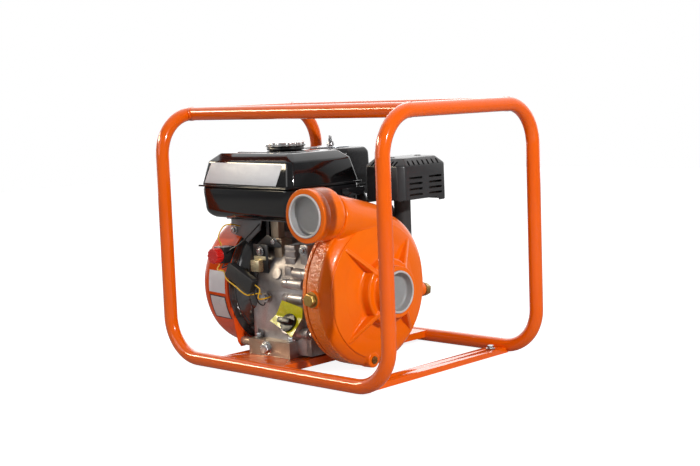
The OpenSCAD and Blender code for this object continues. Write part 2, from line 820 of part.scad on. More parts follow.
// Camshaft with its gear and two cams
module camshaft() {
    color("gray") translate([0, cam_y, cam_z]) {
        rod_x(block_x0 + 8.5, block_x1 + 5.5, cam_r);
        across(gear_x0 + 0.5, gear_x0 + gear_w - 0.5)
            gear_outline(cam_teeth, cam_pitch_r, cam_angle - 180 + 180 / cam_teeth);
        for (i = [0, 1]) rotate([100 * i, 0, 0]) translate([block_x0 + 2 * case_wall + 3 + i * 9, 0, 4])
            rod_x(0, 7, cam_r + 1);
    }
}

// Cast flywheel with cooling blades
module flywheel() {
    color("dimgray") on_crank() difference() {
        union() {
            rod_x(duct_x0 + 2, block_x0 - 6, flywheel_r);
            rod_x(duct_x0 - 14, duct_x0 + 3, 26);
            for (i = [0 : 15]) rotate([360 * i / 16, 0, 0])
                box([duct_x0 - 14, 40, -1.5], [duct_x0 + 3, flywheel_r - 2, 1.5]);
        }
        rod_x(shroud_x0, block_x0, pto_d / 2 + run_gap);
        difference() {
            rod_x(duct_x0 + 8, block_x0, flywheel_r - 12);
            rod_x(duct_x0 + 7, block_x0 + 1, 26);
        }
    }
}

// Pressed cup on the flywheel that the starter's pawls grip
module starter_cup() {
    color("gray") on_crank() difference() {
        rod_x(duct_x0 - 30, duct_x0 - 14.1, 34);
        rod_x(duct_x0 - 31, duct_x0 - 16, 31);
        rod_x(duct_x0 - 20, duct_x0 - 14, pto_d / 2 + run_gap);
        for (i = [0 : 5]) rotate([60 * i, 0, 0]) box([duct_x0 - 26, 25, -6], [duct_x0 - 20, 40, 6]);
    }
}

// STARTER SIDE

// Places round the duct where it is bolted to the crankcase
module duct_bolt_places() {
    for (a = [40, 140, 215, 325]) on_crank() rotate([a, 0, 0]) translate([0, case_r - 16, 0]) children();
}

// Dark sheet duct between the crankcase and the fan shroud
module fan_duct() {
    color("black") on_crank() difference() {
        union() {
            rod_x(duct_x0, block_x0 - fit_gap, duct_r);
        }
        rod_x(duct_x0 - 1, block_x0 - fit_gap - 3, duct_r - shroud_sheet);
        rod_x(duct_x0, block_x0 + 1, journal_d / 2 + 14);
        translate([0, -crank_y, -crank_z]) duct_bolt_places() rod_x(block_x0 - 5, block_x0 + 1, 3 + fit_gap);
        box([duct_x0 + 4, 24, duct_r - 20], [block_x0 + 1, 56, duct_r + 10]);
    }
}

// Orange pressed shroud round the fan, with a round intake for the recoil starter
module fan_shroud() {
    color("orangered") on_crank() difference() {
        union() {
            rod_x(shroud_x0 + 16, shroud_x1 - fit_gap, shroud_r);
            cone_x(shroud_x0, shroud_x0 + 16, shroud_r - 14, shroud_r);
        }
        rod_x(shroud_x0 + 16, shroud_x1 + 1, shroud_r - shroud_sheet);
        cone_x(shroud_x0 + shroud_sheet, shroud_x0 + 16.01, shroud_r - 14 - shroud_sheet,
            shroud_r - shroud_sheet);
        rod_x(shroud_x0 - 1, shroud_x0 + 5, recoil_r - 12);
        recoil_bolt_places() rod_x(-1, 6, 2.5 + fit_gap);
    }
    color("orangered") on_crank() shroud_lip();
}

// Inner lip of the shroud that closes the step down to the duct
module shroud_lip() {
    difference() {
        rod_x(shroud_x1 - 2 - fit_gap, shroud_x1 - fit_gap, shroud_r - shroud_sheet + 0.01);
        rod_x(shroud_x1 - 4, shroud_x1 + 1, duct_r - shroud_sheet);
    }
}

// Places on the shroud's face for the recoil starter's bolts
module recoil_bolt_places() {
    for (a = [80, 200, 320]) rotate([a, 0, 0]) translate([shroud_x0, recoil_r - 5, 0]) children();
}

// Pressed dish that holds the recoil reel, with cooling slots
module recoil_housing() {
    color("black") on_crank() difference() {
        cone_x(recoil_x0, shroud_x0 - fit_gap, recoil_r - 6, recoil_r);
        rod_x(recoil_x0 + 2, shroud_x0 + 1, recoil_r - 12);
        rod_x(recoil_x0 - 1, recoil_x0 + 3, 4 + run_gap);
        for (i = [0 : 11]) rotate([30 * i + 15, 0, 0])
            box([recoil_x0 - 1, reel_r + 8, -4], [recoil_x0 + 3, recoil_r - 16, 4]);
        recoil_bolt_places() rod_x(-recoil_l - 1, 1, 2.5 + fit_gap);
        translate([rope_x, 0, rope_z - crank_z]) rod_y(0, recoil_r + 6, rope_d / 2 + 1);
    }
}

// Reel that the starter rope winds on
module recoil_reel() {
    color("dimgray") on_crank() difference() {
        union() {
            rod_x(recoil_x0 + 0.5, recoil_x0 + 3, 4);
            rod_x(recoil_x0 + 2.6, reel_x, drum_r);
            rod_x(recoil_x0 + 2.6, recoil_x0 + 4.4, reel_r);
            rod_x(reel_x - 2, reel_x, reel_r);
            rod_x(reel_x - 0.01, reel_x + 12, 22);
        }
        rod_x(recoil_x0 + 4.5, reel_x + 13, 14);
    }
}

// Starter rope from the reel out to the grip
module recoil_rope() {
    color("white") translate([rope_x, 0, rope_z]) rod_y(crank_y + 0.5, grip_y + grip_d / 2, rope_d / 2);
}

// Starter grip on the end of the rope
module recoil_grip() {
    color("black") translate([rope_x, grip_y + grip_d / 2, rope_z]) difference() {
        union() {
            translate([0, 0, 4 - grip_l / 2]) cylinder(h = grip_l - 8, r = grip_d / 2);
            translate([0, 0, -grip_l / 2]) cylinder(h = grip_l, r = grip_d / 2 - 3);
            rod_y(-grip_d / 2 - 3, 0, 8);
        }
        rod_y(-grip_d / 2 - 4, 2, rope_d / 2 + fit_gap);
    }
}

// FUEL TANK

// Upper pressed shell of the tank with sloping sides and the filler neck
module tank_upper() {
    color("black") translate([tank_x, tank_y, 0]) {
        difference() {
            union() {
                loft(seam_z, tank_l - 4, tank_w - 4, seam_z + tank_up_h * 0.75, tank_l - tank_corner,
                    tank_w - tank_corner, tank_corner);
                loft(seam_z + tank_up_h * 0.74, tank_l - tank_corner, tank_w - tank_corner, tank_z1,
                    tank_l - tank_crown, tank_w - tank_crown, tank_corner);
                translate([0, 0, seam_z + fit_gap / 2])
                    linear_extrude(tank_sheet)
                        round_rect(tank_l + 2 * seam_w, tank_w + 2 * seam_w, tank_corner + seam_w);
                translate([neck_x - tank_x, 0, tank_z1 - 8]) cylinder(h = neck_h + 8, r = neck_d / 2);
            }
            loft(seam_z - 1, tank_l - 4 - 2 * tank_sheet, tank_w - 4 - 2 * tank_sheet,
                 seam_z + tank_up_h * 0.75 - tank_sheet, tank_l - tank_corner - 2 - 2 * tank_sheet,
                 tank_w - tank_corner - 2 - 2 * tank_sheet, tank_corner - tank_sheet);
            loft(seam_z + tank_up_h * 0.71, tank_l - tank_corner - 4 - 2 * tank_sheet,
                 tank_w - tank_corner - 4 - 2 * tank_sheet, tank_z1 - tank_sheet,
                 tank_l - tank_crown - 2 - 2 * tank_sheet, tank_w - tank_crown - 2 - 2 * tank_sheet,
                 tank_corner - tank_sheet);
            translate([neck_x - tank_x, 0, tank_z1 - 20]) cylinder(h = 40, r = neck_d / 2 - 2);
            translate([0, 0, seam_z - 2]) linear_extrude(2 + fit_gap / 2)
                square([2 * tank_l, 2 * tank_w], center = true);
        }
    }
}

// Lower pressed shell of the tank with the fuel outlet
module tank_lower() {
    color("black") translate([tank_x, tank_y, 0]) difference() {
        union() {
            loft(tank_z0 + dish_h, tank_l - dish_draft, tank_w - dish_draft, seam_z, tank_l, tank_w,
                tank_corner);
            loft(tank_z0, tank_l - 5 * dish_draft, tank_w - 5 * dish_draft, tank_z0 + dish_h + 1,
                tank_l - dish_draft, tank_w - dish_draft, tank_corner - 3);
            translate([0, 0, seam_z - tank_sheet - fit_gap / 2])
                linear_extrude(tank_sheet)
                    round_rect(tank_l + 2 * seam_w, tank_w + 2 * seam_w, tank_corner + seam_w);
        }
        loft(tank_z0 + dish_h, tank_l - dish_draft - 2 * tank_sheet, tank_w - dish_draft - 2 * tank_sheet,
             seam_z + 1, tank_l - 2 * tank_sheet, tank_w - 2 * tank_sheet, tank_corner - tank_sheet);
        loft(tank_z0 + tank_sheet, tank_l - 5 * dish_draft - 2 - 2 * tank_sheet,
             tank_w - 5 * dish_draft - 2 - 2 * tank_sheet, tank_z0 + dish_h + 1,
             tank_l - dish_draft - 2 - 2 * tank_sheet, tank_w - dish_draft - 2 - 2 * tank_sheet,
             tank_corner - 3 - tank_sheet);
        translate([0, 0, seam_z - fit_gap / 2]) linear_extrude(3)
            square([2 * tank_l, 2 * tank_w], center = true);
        translate([hose_x - tank_x, hose_y - tank_y, tank_z0 - 1]) cylinder(h = 6, r = 3);
    }
}
hose_x = block_x0 + 7;
hose_y = tank_y1 - 46;

// Fuel cap with a scalloped rim, turned on the filler neck
module fuel_cap() {
    color("silver") translate([neck_x, tank_y, tank_z1]) difference() {
        union() {
            translate([0, 0, 2]) cylinder(h = 8, r = cap_d / 2 - 3);
            translate([0, 0, 8]) cylinder(h = cap_h - 3, r = cap_d / 2);
            translate([0, 0, 5 + cap_h - 0.01]) cylinder(h = 2, r1 = cap_d / 2 - 1, r2 = cap_d / 2 - 5);
        }
        translate([0, 0, 1]) cylinder(h = neck_h - 1 + move_gap, r = neck_d / 2 + move_gap);
        for (i = [0 : 11]) rotate(30 * i) translate([cap_d / 2 + 4, 0, 8.5]) cylinder(h = 20, r = 6.5);
    }
}

// Grey sheet bracket with two pillars that carries the tank on the crankcase
module tank_bracket() {
    color("gray") difference() {
        union() {
            box([tank_x0 + 34, bracket_y, tank_z0 - 3.3], [tank_x1 - 44, crank_y + 6, tank_z0 - 0.3]);
            pillar_places() translate([0, 0, pillar_z + fit_gap])
                cylinder(h = tank_z0 - 3.2 - pillar_z - fit_gap, r = 9);
            box([tank_x0 + 34, bracket_y, tank_z0 - 30], [tank_x0 + 84, bracket_y + 3, tank_z0 - 0.3]);
        }
        pillar_places() translate([0, 0, pillar_z - 1]) cylinder(h = 60, r = 3 + fit_gap);
        on_crank() rod_x(shroud_x0, shroud_x1 + 3, shroud_r + move_gap);
    }
}

// Rubber hose from the tank to the carburettor
module fuel_hose() {
    color("black") wire([
        [hose_x, hose_y, tank_z0 - 0.5], [hose_x, hose_y + 2, tank_z0 - 8],
        [hose_x - 2, hose_y + 26, tank_z0 - 18], [hose_x - 20, hose_y + 60, tank_z0 - 28],
        [carb_x0 + 16, intake_y - 40, intake_z + 8], [carb_x0 + 20, intake_y - 27, intake_z - 2],
        [carb_x0 + 20, intake_y - 21, intake_z - 2]
    ], 4);
}

// CARBURETTOR AND AIR CLEANER

// Carburettor with its float bowl, spacer and the elbow to the air cleaner
module carburettor() {
    color("silver") difference() {
        union() {
            translate([0, intake_y, intake_z]) rod_x(carb_x0, head_x0 - fit_gap, 16);
            translate([0, intake_y, intake_z]) rod_x(head_x0 - 6, head_x0 - fit_gap, 22);
            box([carb_x0, intake_y - 20, intake_z - 14],
                [carb_x0 + carb_l - 8, intake_y + 20, intake_z + 14]);
            translate([carb_x0 + 16, intake_y, intake_z - 42]) cylinder(h = 30, r = 19);
            translate([carb_x0 - 6, intake_y, intake_z]) rod_x(-12, 6.1, 16);
            translate([carb_x0 - 10, intake_y, intake_z]) cylinder(h = air_z0 - intake_z - fit_gap, r = 15);
        }
        translate([0, intake_y, intake_z]) rod_x(carb_x0 - 10, head_x0, 11);
        translate([carb_x0 - 10, intake_y, intake_z]) cylinder(h = air_z0, r = 10);
        for (x = lever_x) translate([x, intake_y + 12, intake_z + (x == lever_x[1] ? -4 : 4)])
            rod_y(0, 20, 2.5 + run_gap);
        translate([lever_x[2], intake_y, intake_z + 4]) cylinder(h = 20, r = 2.5 + run_gap);
    }
}
lever_x = [carb_x0 + 6, carb_x0 + 16, carb_x0 + 26];

// Lever on a short pin that points along +Y; the arm rises at an angle
module side_lever(arm, a) {
    rod_y(-7.5, 5, 2.5);
    rod_y(1, 4, 6);
    rotate([0, a, 0]) box([-3, 1.4, 0], [3, 3.6, arm]);
    rotate([0, a, 0]) translate([0, 0, arm]) rod_y(1, 9, 5);
}

// Choke lever on the carburettor's side
module choke_lever() {
    color("gray") translate([lever_x[0], intake_y + 20, intake_z + 4]) side_lever(26, -57);
}

// Fuel tap lever on the carburettor's side
module fuel_tap_lever() {
    color("black") translate([lever_x[1], intake_y + 20, intake_z - 4]) side_lever(18, 150);
}

// Throttle lever on top of the carburettor
module throttle_lever() {
    color("gray") translate([lever_x[2], intake_y, intake_z + 17]) {
        translate([0, 0, -11]) cylinder(h = 15, r = 2.5);
        translate([0, 0, 1]) cylinder(h = 3, r = 6);
        box([-3, -34, 1], [3, 0, 4]);
        translate([0, -34, 1]) cylinder(h = 12, r = 4);
    }
}

// Base tray of the air cleaner with its stud
module air_cleaner_base() {
    color("black") translate([air_x, air_y, air_z0]) difference() {
        union() {
            linear_extrude(air_base_t) round_rect(air_l, air_w, 14);
            cylinder(h = air_z1 - air_z0 + 16, r = stud_r);
        }
        difference() {
            translate([0, 0, 3]) linear_extrude(air_base_t) round_rect(air_l - 6, air_w - 6, 12);
            cylinder(h = air_base_t + 20, r = stud_r);
        }
        translate([carb_x0 - 10 - air_x, intake_y - air_y, -1]) cylinder(h = 6, r = 10);
    }
}

// Lift-off cover of the air cleaner with a bright lid disc
module air_cleaner_cover() {
    color("black") translate([air_x, air_y, 0]) difference() {
        union() {
            loft(air_z0 + air_base_t + fit_gap, air_l, air_w, air_z1 - lid_edge, air_l - lid_edge / 2,
                air_w - lid_edge / 2, air_corner);
            loft(air_z1 - lid_edge - 0.01, air_l - lid_edge / 2, air_w - lid_edge / 2, air_z1,
                air_l - 2 * lid_edge, air_w - 2 * lid_edge, air_corner - 2);
            translate([0, 0, air_z1 - 1]) cylinder(h = 3.5, r = lid_disc_r);
        }
        loft(air_z0 + air_base_t - 1, air_l - 5, air_w - 5, air_z1 - lid_edge, air_l - lid_edge - 2,
            air_w - lid_edge - 2, air_corner - 2);
        translate([0, 0, air_z0]) cylinder(h = air_h + 40, r = stud_r + fit_gap);
    }
}

// Foam and paper filter ring inside the air cleaner
module filter_element() {
    color("khaki") translate([air_x, air_y, air_z0 + 3.2]) difference() {
        linear_extrude(air_base_t + air_h - 16) round_rect(air_l - 22, air_w - 22, 10);
        translate([0, 0, -1]) linear_extrude(air_h + 40) round_rect(air_l - 52, air_w - 52, 10);
    }
}

// Wing nut that holds the air cleaner's cover
module wing_nut() {
    color("silver") translate([air_x, air_y, air_z1 + 2.5 + move_gap]) difference() {
        union() {
            cylinder(h = 8, r1 = 7, r2 = 5);
            for (side = [-1, 1]) rotate([0, side * 35, 0])
                box([side > 0 ? 2 : -5, -1.2, 3], [side > 0 ? 5 : -2, 1.2, 17]);
        }
        translate([0, 0, -1]) cylinder(h = 30, r = stud_r + run_gap);
    }
}

// EXHAUST

// Muffler box with its elbow from the exhaust port
module muffler() {
    color("dimgray") difference() {
        union() {
            translate([(guard_x0 + guard_x1) / 2, (guard_y0 + guard_y1) / 2, guard_z0 + muffler_gap])
                linear_extrude(guard_h - 2.5 * muffler_gap)
                    round_rect(guard_l - 2 * muffler_gap, guard_w - 2 * muffler_gap, 2 * muffler_gap);
            translate([0, intake_y, intake_z]) rod_x(head_x1 + fit_gap, head_x1 + 8, 22);
            translate([0, intake_y, intake_z]) rod_x(head_x1 + fit_gap, head_x1 + 18, exhaust_r);
            translate([head_x1 + 18, intake_y, intake_z]) sphere(exhaust_r);
            translate([head_x1 + 18, intake_y, intake_z])
                cylinder(h = guard_z0 + 9 - intake_z, r = exhaust_r);
            translate([guard_x1 - 22, guard_y1 - 9, guard_z0 + 24]) rod_y(0, 11, 9);
        }
        translate([0, intake_y, intake_z]) rod_x(head_x1 - 1, head_x1 + 18, exhaust_r - 3);
        translate([head_x1 + 18, intake_y, intake_z])
            cylinder(h = guard_z0 + 20 - intake_z, r = exhaust_r - 3);
        translate([(guard_x0 + guard_x1) / 2, (guard_y0 + guard_y1) / 2, guard_z0 + muffler_gap + 2])
            linear_extrude(guard_h - 2.5 * muffler_gap - 4)
                round_rect(guard_l - 2 * muffler_gap - 4, guard_w - 2 * muffler_gap - 4, 2 * muffler_gap - 2);
        translate([guard_x1 - 22, guard_y1 - 20, guard_z0 + 24]) rod_y(0, 30, 6);
    }
}

// Perforated guard over the muffler, open at the bottom
module muffler_guard() {
    mid_x = (guard_x0 + guard_x1) / 2;
    mid_y = (guard_y0 + guard_y1) / 2;
    chamfer = 12;
    color("dimgray") difference() {
        translate([mid_x, mid_y, 0]) difference() {
            union() {
                translate([0, 0, guard_z0]) linear_extrude(guard_h - chamfer) round_rect(guard_l, guard_w, 8);
                loft(guard_z1 - chamfer - 0.01, guard_l, guard_w, guard_z1, guard_l - 2 * chamfer,
                    guard_w - 2 * chamfer, 7);
            }
            translate([0, 0, guard_z0 - 1])
                linear_extrude(guard_h - chamfer + 1)
                    round_rect(guard_l - 2 * guard_sheet, guard_w - 2 * guard_sheet, 6.5);
            loft(guard_z1 - chamfer - 0.02, guard_l - 2 * guard_sheet, guard_w - 2 * guard_sheet,
                 guard_z1 - guard_sheet, guard_l - 2 * chamfer - 2, guard_w - 2 * chamfer - 2, 6.5);
        }
        for (i = [0 : 3], y = [0.3, 0.72])
            box([guard_x1 - 5, guard_y0 + guard_w * y - 13, guard_z0 + 12 + 9 * i],
                [guard_x1 + 1, guard_y0 + guard_w * y + 13, guard_z0 + 15 + 9 * i]);
        for (i = [0 : 6]) box([guard_x0 + 20 + 8 * i, guard_y0 - 1, guard_z1 - 24],
            [guard_x0 + 23 + 8 * i, guard_y0 + 5, guard_z1 - 15]);
        translate([guard_x1 - 22, guard_y1 - 5, guard_z0 + 24]) rod_y(0, 10, 9.5);
        box([guard_x1 - 6, guard_y0 + 40, guard_z0 - 1], [guard_x1 + 1, guard_y1 - 24, guard_z0 + 6]);
        translate([head_x1 + 18, intake_y, guard_z0 - 1]) cylinder(h = 9, r = exhaust_r + 2);
    }
    color("dimgray") for (y = [guard_y0 + 26, guard_y1 - 26])
        translate([mid_x, y, guard_z1 - 12 + fit_gap]) cylinder(h = 12 - guard_sheet, r = 6);
}

// ELECTRICS

switch_x = shroud_x1 - 12;
switch_z = crank_z + 54;
switch_y = crank_y - shroud_r - 6;

// Black body of the stop switch on the shroud's flank
module stop_switch_base() {
    color("black") difference() {
        box([switch_x - 12, switch_y, switch_z - 13], [switch_x + 12, switch_y + 26, switch_z + 13]);
        on_crank() rod_x(shroud_x0, shroud_x1 + 30, shroud_r + fit_gap);
        translate([switch_x, 0, switch_z]) rod_y(switch_y - 1, switch_y + 8, 5 + run_gap);
    }
}

// Red rotary knob of the stop switch
module stop_switch_knob() {
    color("red") translate([switch_x, 0, switch_z]) difference() {
        union() {
            rod_y(switch_y - move_gap - 14, switch_y - move_gap, knob_d / 2);
            rod_y(switch_y - 1, switch_y + 7.5, 5);
        }
        for (i = [0 : 11]) rotate([0, 30 * i, 0]) translate([knob_d / 2 + 1, 0, 0])
            rod_y(switch_y - 13, switch_y - move_gap - 2, 2.2);
    }
}

unit_x = block_x0 + 12;
unit_y = crank_y - duct_r - 13;
unit_z = crank_z + 20;

// Low-oil cut-out in its black sleeve, strapped to the duct
module low_oil_unit() {
    color("black") difference() {
        translate([unit_x, unit_y, unit_z]) rotate([0, unit_tilt, 0]) {
            translate([0, 6, 0]) rotate([90, 0, 0]) linear_extrude(12) round_rect(oil_unit_l, 25, 4);
            translate([-18, 5.9, 0]) rod_y(0, 20, 6);
        }
        on_crank() rod_x(duct_x0, block_x0, duct_r + fit_gap);
    }
}

earth_y = crank_y - case_r - 5.4;
earth_x = block_x0 + 36;
earth_z = crank_z - 14;
unit_tilt = 25;
bracket_y = crank_y - 76;

// Point beside the cut-out: a along its sleeve, b across it
function unit_at(a, b) = [
    unit_x + a * cos(unit_tilt) + b * sin(unit_tilt), unit_y,
    unit_z - a * sin(unit_tilt) + b * cos(unit_tilt)
];
unit_end = oil_unit_l / 2 + wire_d;
unit_edge = -12.5 - wire_d;
in_front = [0, 1.8 * wire_d, 0];

// Yellow wires between the stop switch, the cut-out and the earth bolt
module yellow_wires() {
    r = wire_d / 2;
    color("gold") {
        wire([[switch_x - 2, switch_y + 8, switch_z + 14.4], [switch_x - 5, switch_y + 5, switch_z + 30],
              [switch_x - 1, switch_y + 14, switch_z + 46], [switch_x + 6, switch_y + 26, switch_z + 48],
              [switch_x + 10, bracket_y - 0.5, tank_z0 - 14]], r);
        wire([[switch_x - 2, switch_y + 4, switch_z - 14.4], [switch_x - 4, switch_y - 2, switch_z - 24],
              unit_at(-unit_end - 4, -8) - in_front, unit_at(-unit_end + 8, unit_edge),
              unit_at(0, unit_edge), unit_at(unit_end - 8, unit_edge - 2),
              [earth_x - 11, earth_y - 4, earth_z + 6], [earth_x - 4.3, earth_y - 0.3, earth_z + 0.5]], r);
        wire([unit_at(unit_end, 5), unit_at(unit_end + 12, 3), unit_at(unit_end + 15, -12),
              [earth_x + 14, earth_y - 3, earth_z + 2], [earth_x + 4.3, earth_y - 0.3, earth_z + 1]], r);
    }
}

// Black wires from the stop switch and the cut-out
module black_wires() {
    r = wire_d / 2;
    color("black") {
        wire([[switch_x + 13.4, switch_y + 8, switch_z + 4], [switch_x + 24, switch_y + 4, switch_z + 10],
              [switch_x + 44, switch_y + 14, switch_z + 24], [switch_x + 58, switch_y + 44, tank_z0 - 5]], r);
        wire([[switch_x + 8, switch_y + 3, switch_z - 14.4], [switch_x + 9, switch_y - 2, switch_z - 20],
              unit_at(-unit_end, 6)], r);
        wire([unit_at(unit_end, -6), [earth_x + 2, earth_y - 18, earth_z - 6],
              [earth_x - 1, earth_y - 4, earth_z - 12], [earth_x - 1, earth_y - 0.3, earth_z - 4.3]], r);
    }
}

// Oil filler plug with its grip bar and dipstick
module oil_filler_plug() {
    color("black") on_oil_filler() {
        translate([0, 0, filler_l + 0.1]) cylinder(h = 5, r = dip_d / 2);
        translate([-dip_d / 2 + 2, -4, filler_l + 5]) cube([dip_d - 4, 8, 11]);
        translate([0, 0, filler_l - 12]) cylinder(h = 12.2, r = dip_d / 2 - 4 - run_gap);
        translate([0, 0, filler_l - 44]) cylinder(h = 33, r = 2.5);
    }
}

// PUMP

// Cast plate between the engine's flange and the casing
module pump_bracket() {
    color("darkorange") on_crank() difference() {
        rod_x(flange_x + fit_gap / 2, flange_x + bracket_t, casing_r);
        rod_x(flange_x - 1, flange_x + bracket_t + 1, journal_d / 2 + 3);
        rod_x(flange_x + bracket_t - 5, flange_x + bracket_t + 1, 22);
        for (sy = [-1, 1], sz = [-1, 1]) translate([0, sy * cover_bolt_r, sz * cover_bolt_r])
            rod_x(flange_x - 1, flange_x + 20, bolt_hole_r);
        casing_bolt_places() rod_x(-2, bracket_t + 2, bolt_r - 1 + fit_gap);
    }
}

// Places on the back of the bracket for the casing bolts
module casing_bolt_places() {
    for (i = [0 : casing_bolts - 1]) rotate([22.5 + 360 * i / casing_bolts, 0, 0])
        translate([flange_x, casing_bolt_r, 0]) children();
}

// Tapered pipe from the volute to the discharge boss; z runs towards the boss
module on_discharge_pipe() {
    translate([discharge_x + 2, crank_y + 46, discharge_z - 27]) rotate([81, 0, 0]) children();
}
pipe_l = discharge_reach - 8;

// Drain at the foot of the casing, a little towards the discharge; x runs out of its boss
module on_pump_drain() {
    rotate([-10, 0, 0]) translate([face_x - 12, 0, -face_r - 2]) children();
}
drain_boss_r = face_r / 9;

// Outside of the casing: rim, shoulder, conical face, stepped hub, ribs and discharge pipe
module casing_body() {
    on_crank() {
        rod_x(rim_x0, rim_x1, casing_r);
        cone_x(rim_x1 - 0.01, face_x, casing_r, face_r);
        cone_x(face_x - 0.01, hub_x, face_r, hub_r);
        rod_x(hub_x - 1, step_x, hub_r);
        rod_x(step_x - 1, suction_x, boss_r + 1);
        for (a = [45 : 90 : 315]) rotate([a, 0, 0]) rib();
        on_pump_drain() rod_x(0, 16, drain_boss_r);
        translate([discharge_x, 0, 0]) rod_y(-casing_r - 4, -chamber_r - 2, 13);
        rotate([-8, 0, 0]) translate([discharge_x + 6, 0, 0]) rod_y(chamber_r + 2, casing_r + 6, 12);
    }
    difference() {
        union() {
            translate([discharge_x, 0, discharge_z]) rod_y(discharge_y, discharge_y + 50, boss_r);
            on_discharge_pipe() cylinder(h = pipe_l, r1 = 27, r2 = 37);
        }
        on_crank() rod_x(block_x1, rim_x0, casing_r + 4);
    }
}

// Radial stiffening rib from the hub out to the shoulder
module rib() {
    translate([0, 0, -4]) linear_extrude(8)
        polygon([[face_x - 6, hub_r - 12], [step_x + 4, hub_r - 12], [step_x + 4, boss_r + 6],
                 [step_x - 2, hub_r + 3], [face_x + 1, face_r - 4], [face_x - 6, face_r - 4]]);
}

// Cast volute casing with the suction and discharge ports
module pump_casing() {
    color("darkorange") difference() {
        casing_body();
        on_crank() {
            rod_x(rim_x0 - 1, chamber_x1, chamber_r);
            cone_x(chamber_x1 - 0.01, chamber_x1 + shoulder_l - 2, chamber_r, hub_r);
            rod_x(chamber_x1, suction_x - plug_seat_l, port_r);
            rod_x(suction_x - plug_seat_l, suction_x + 1, plug_seat_r);
            casing_bolt_places() rod_x(0, bracket_t + 22, bolt_r - 1 + fit_gap);
            on_pump_drain() rod_x(6, 17, drain_boss_r / 2 + fit_gap);
            translate([discharge_x, 0, 0]) rod_y(-casing_r - 5, -chamber_r - 6, 7 + fit_gap);
            rotate([-8, 0, 0]) translate([discharge_x + 6, 0, 0])
                rod_y(chamber_r + 6, casing_r + 7, 6 + fit_gap);
        }
        translate([discharge_x, 0, discharge_z])
            rod_y(discharge_y - 1, discharge_y + plug_seat_l, plug_seat_r);
        translate([discharge_x, 0, discharge_z])
            rod_y(discharge_y + plug_seat_l - 0.01, discharge_y + plug_seat_l + port_l, port_r);
        difference() {
            on_discharge_pipe() translate([3, 0, -6]) cylinder(h = pipe_l + 34, r1 = 15, r2 = port_r - 2);
            box([0, discharge_y - 60, 0],
                [2 * discharge_x, discharge_y + plug_seat_l + port_l, 2 * discharge_z]);
        }
    }
}

// Closed impeller with curved vanes
module impeller() {
    color("goldenrod") on_crank() difference() {
        union() {
            rod_x(impeller_x, impeller_x + 4, impeller_r);
            rod_x(impeller_x, impeller_x + 22, 17);
            for (i = [0 : 5]) rotate([60 * i, 0, 0]) intersection() {
                vane();
                rod_x(impeller_x, impeller_x + 15, impeller_r - 1);
            }
        }
        rod_x(impeller_x - 1, impeller_x + 24, pto_d / 2 + run_gap);
    }
}

// One curved vane of the impeller
module vane() {
    arc_r = 62;
    translate([0, arc_r - 4, 22]) difference() {
        rod_x(impeller_x + 3.9, impeller_x + 16, arc_r + 2);
        rod_x(impeller_x, impeller_x + 18, arc_r - 2);
        box([impeller_x, -2 * arc_r, 0], [impeller_x + 20, 2 * arc_r, 2 * arc_r]);
        box([impeller_x, -2 * arc_r, -2 * arc_r], [impeller_x + 20, -arc_r * 0.55, 2 * arc_r]);
    }
}

// Fixed face of the shaft seal in the bracket
module seal_seat() {
    color("lightgray") on_crank() difference() {
        rod_x(seal_x - 4.9, seal_x + 1, 22 - fit_gap);
        rod_x(seal_x - 6, seal_x + 2, pto_d / 2 + 1.5);
    }
}

// Turning carbon face of the shaft seal
module seal_ring() {
    color("black") on_crank() difference() {
        rod_x(seal_x + 1.05, impeller_x - 0.05, 18);
        rod_x(seal_x, impeller_x + 1, pto_d / 2 + run_gap);
    }
}

// Plastic dust plug: a cup that fits the counterbore; z runs outwards
module dust_plug() {
    difference() {
        union() {
            translate([0, 0, -plug_seat_l + fit_gap]) cylinder(h = plug_seat_l - fit_gap, r = plug_r);
            cylinder(h = 3, r = plug_r);
        }
        translate([0, 0, -plug_seat_l + 2.5]) cylinder(h = plug_seat_l + 4, r = plug_r - 4.5);
    }
}

// Grey dust plug in the discharge port
module discharge_plug() {
    color("lightgray") translate([discharge_x, discharge_y, discharge_z]) rotate([90, 0, 0]) dust_plug();
}

// Grey dust plug in the suction port
module suction_plug() {
    color("lightgray") translate([suction_x, crank_y, crank_z]) rotate([0, 90, 0]) dust_plug();
}

// Hexagon plugs of the pump: brass gauge plug, priming plug and drain plug
module pump_plugs() {
    color("goldenrod") on_crank() {
        translate([discharge_x, -casing_r - 4, 0]) rotate([90, 0, 0]) {
            cylinder(h = 6, r = 10, $fn = 6);
            translate([0, 0, -16]) cylinder(h = 16, r = 7);
        }
        rotate([-8, 0, 0]) translate([discharge_x + 6, casing_r + 6, 0]) rotate([-90, 0, 0]) {
            cylinder(h = 10, r = 9, $fn = 6);
            translate([0, 0, -12]) cylinder(h = 12, r = 6);
        }
        on_pump_drain() rod_x(7, 19, drain_boss_r / 2);
    }
}

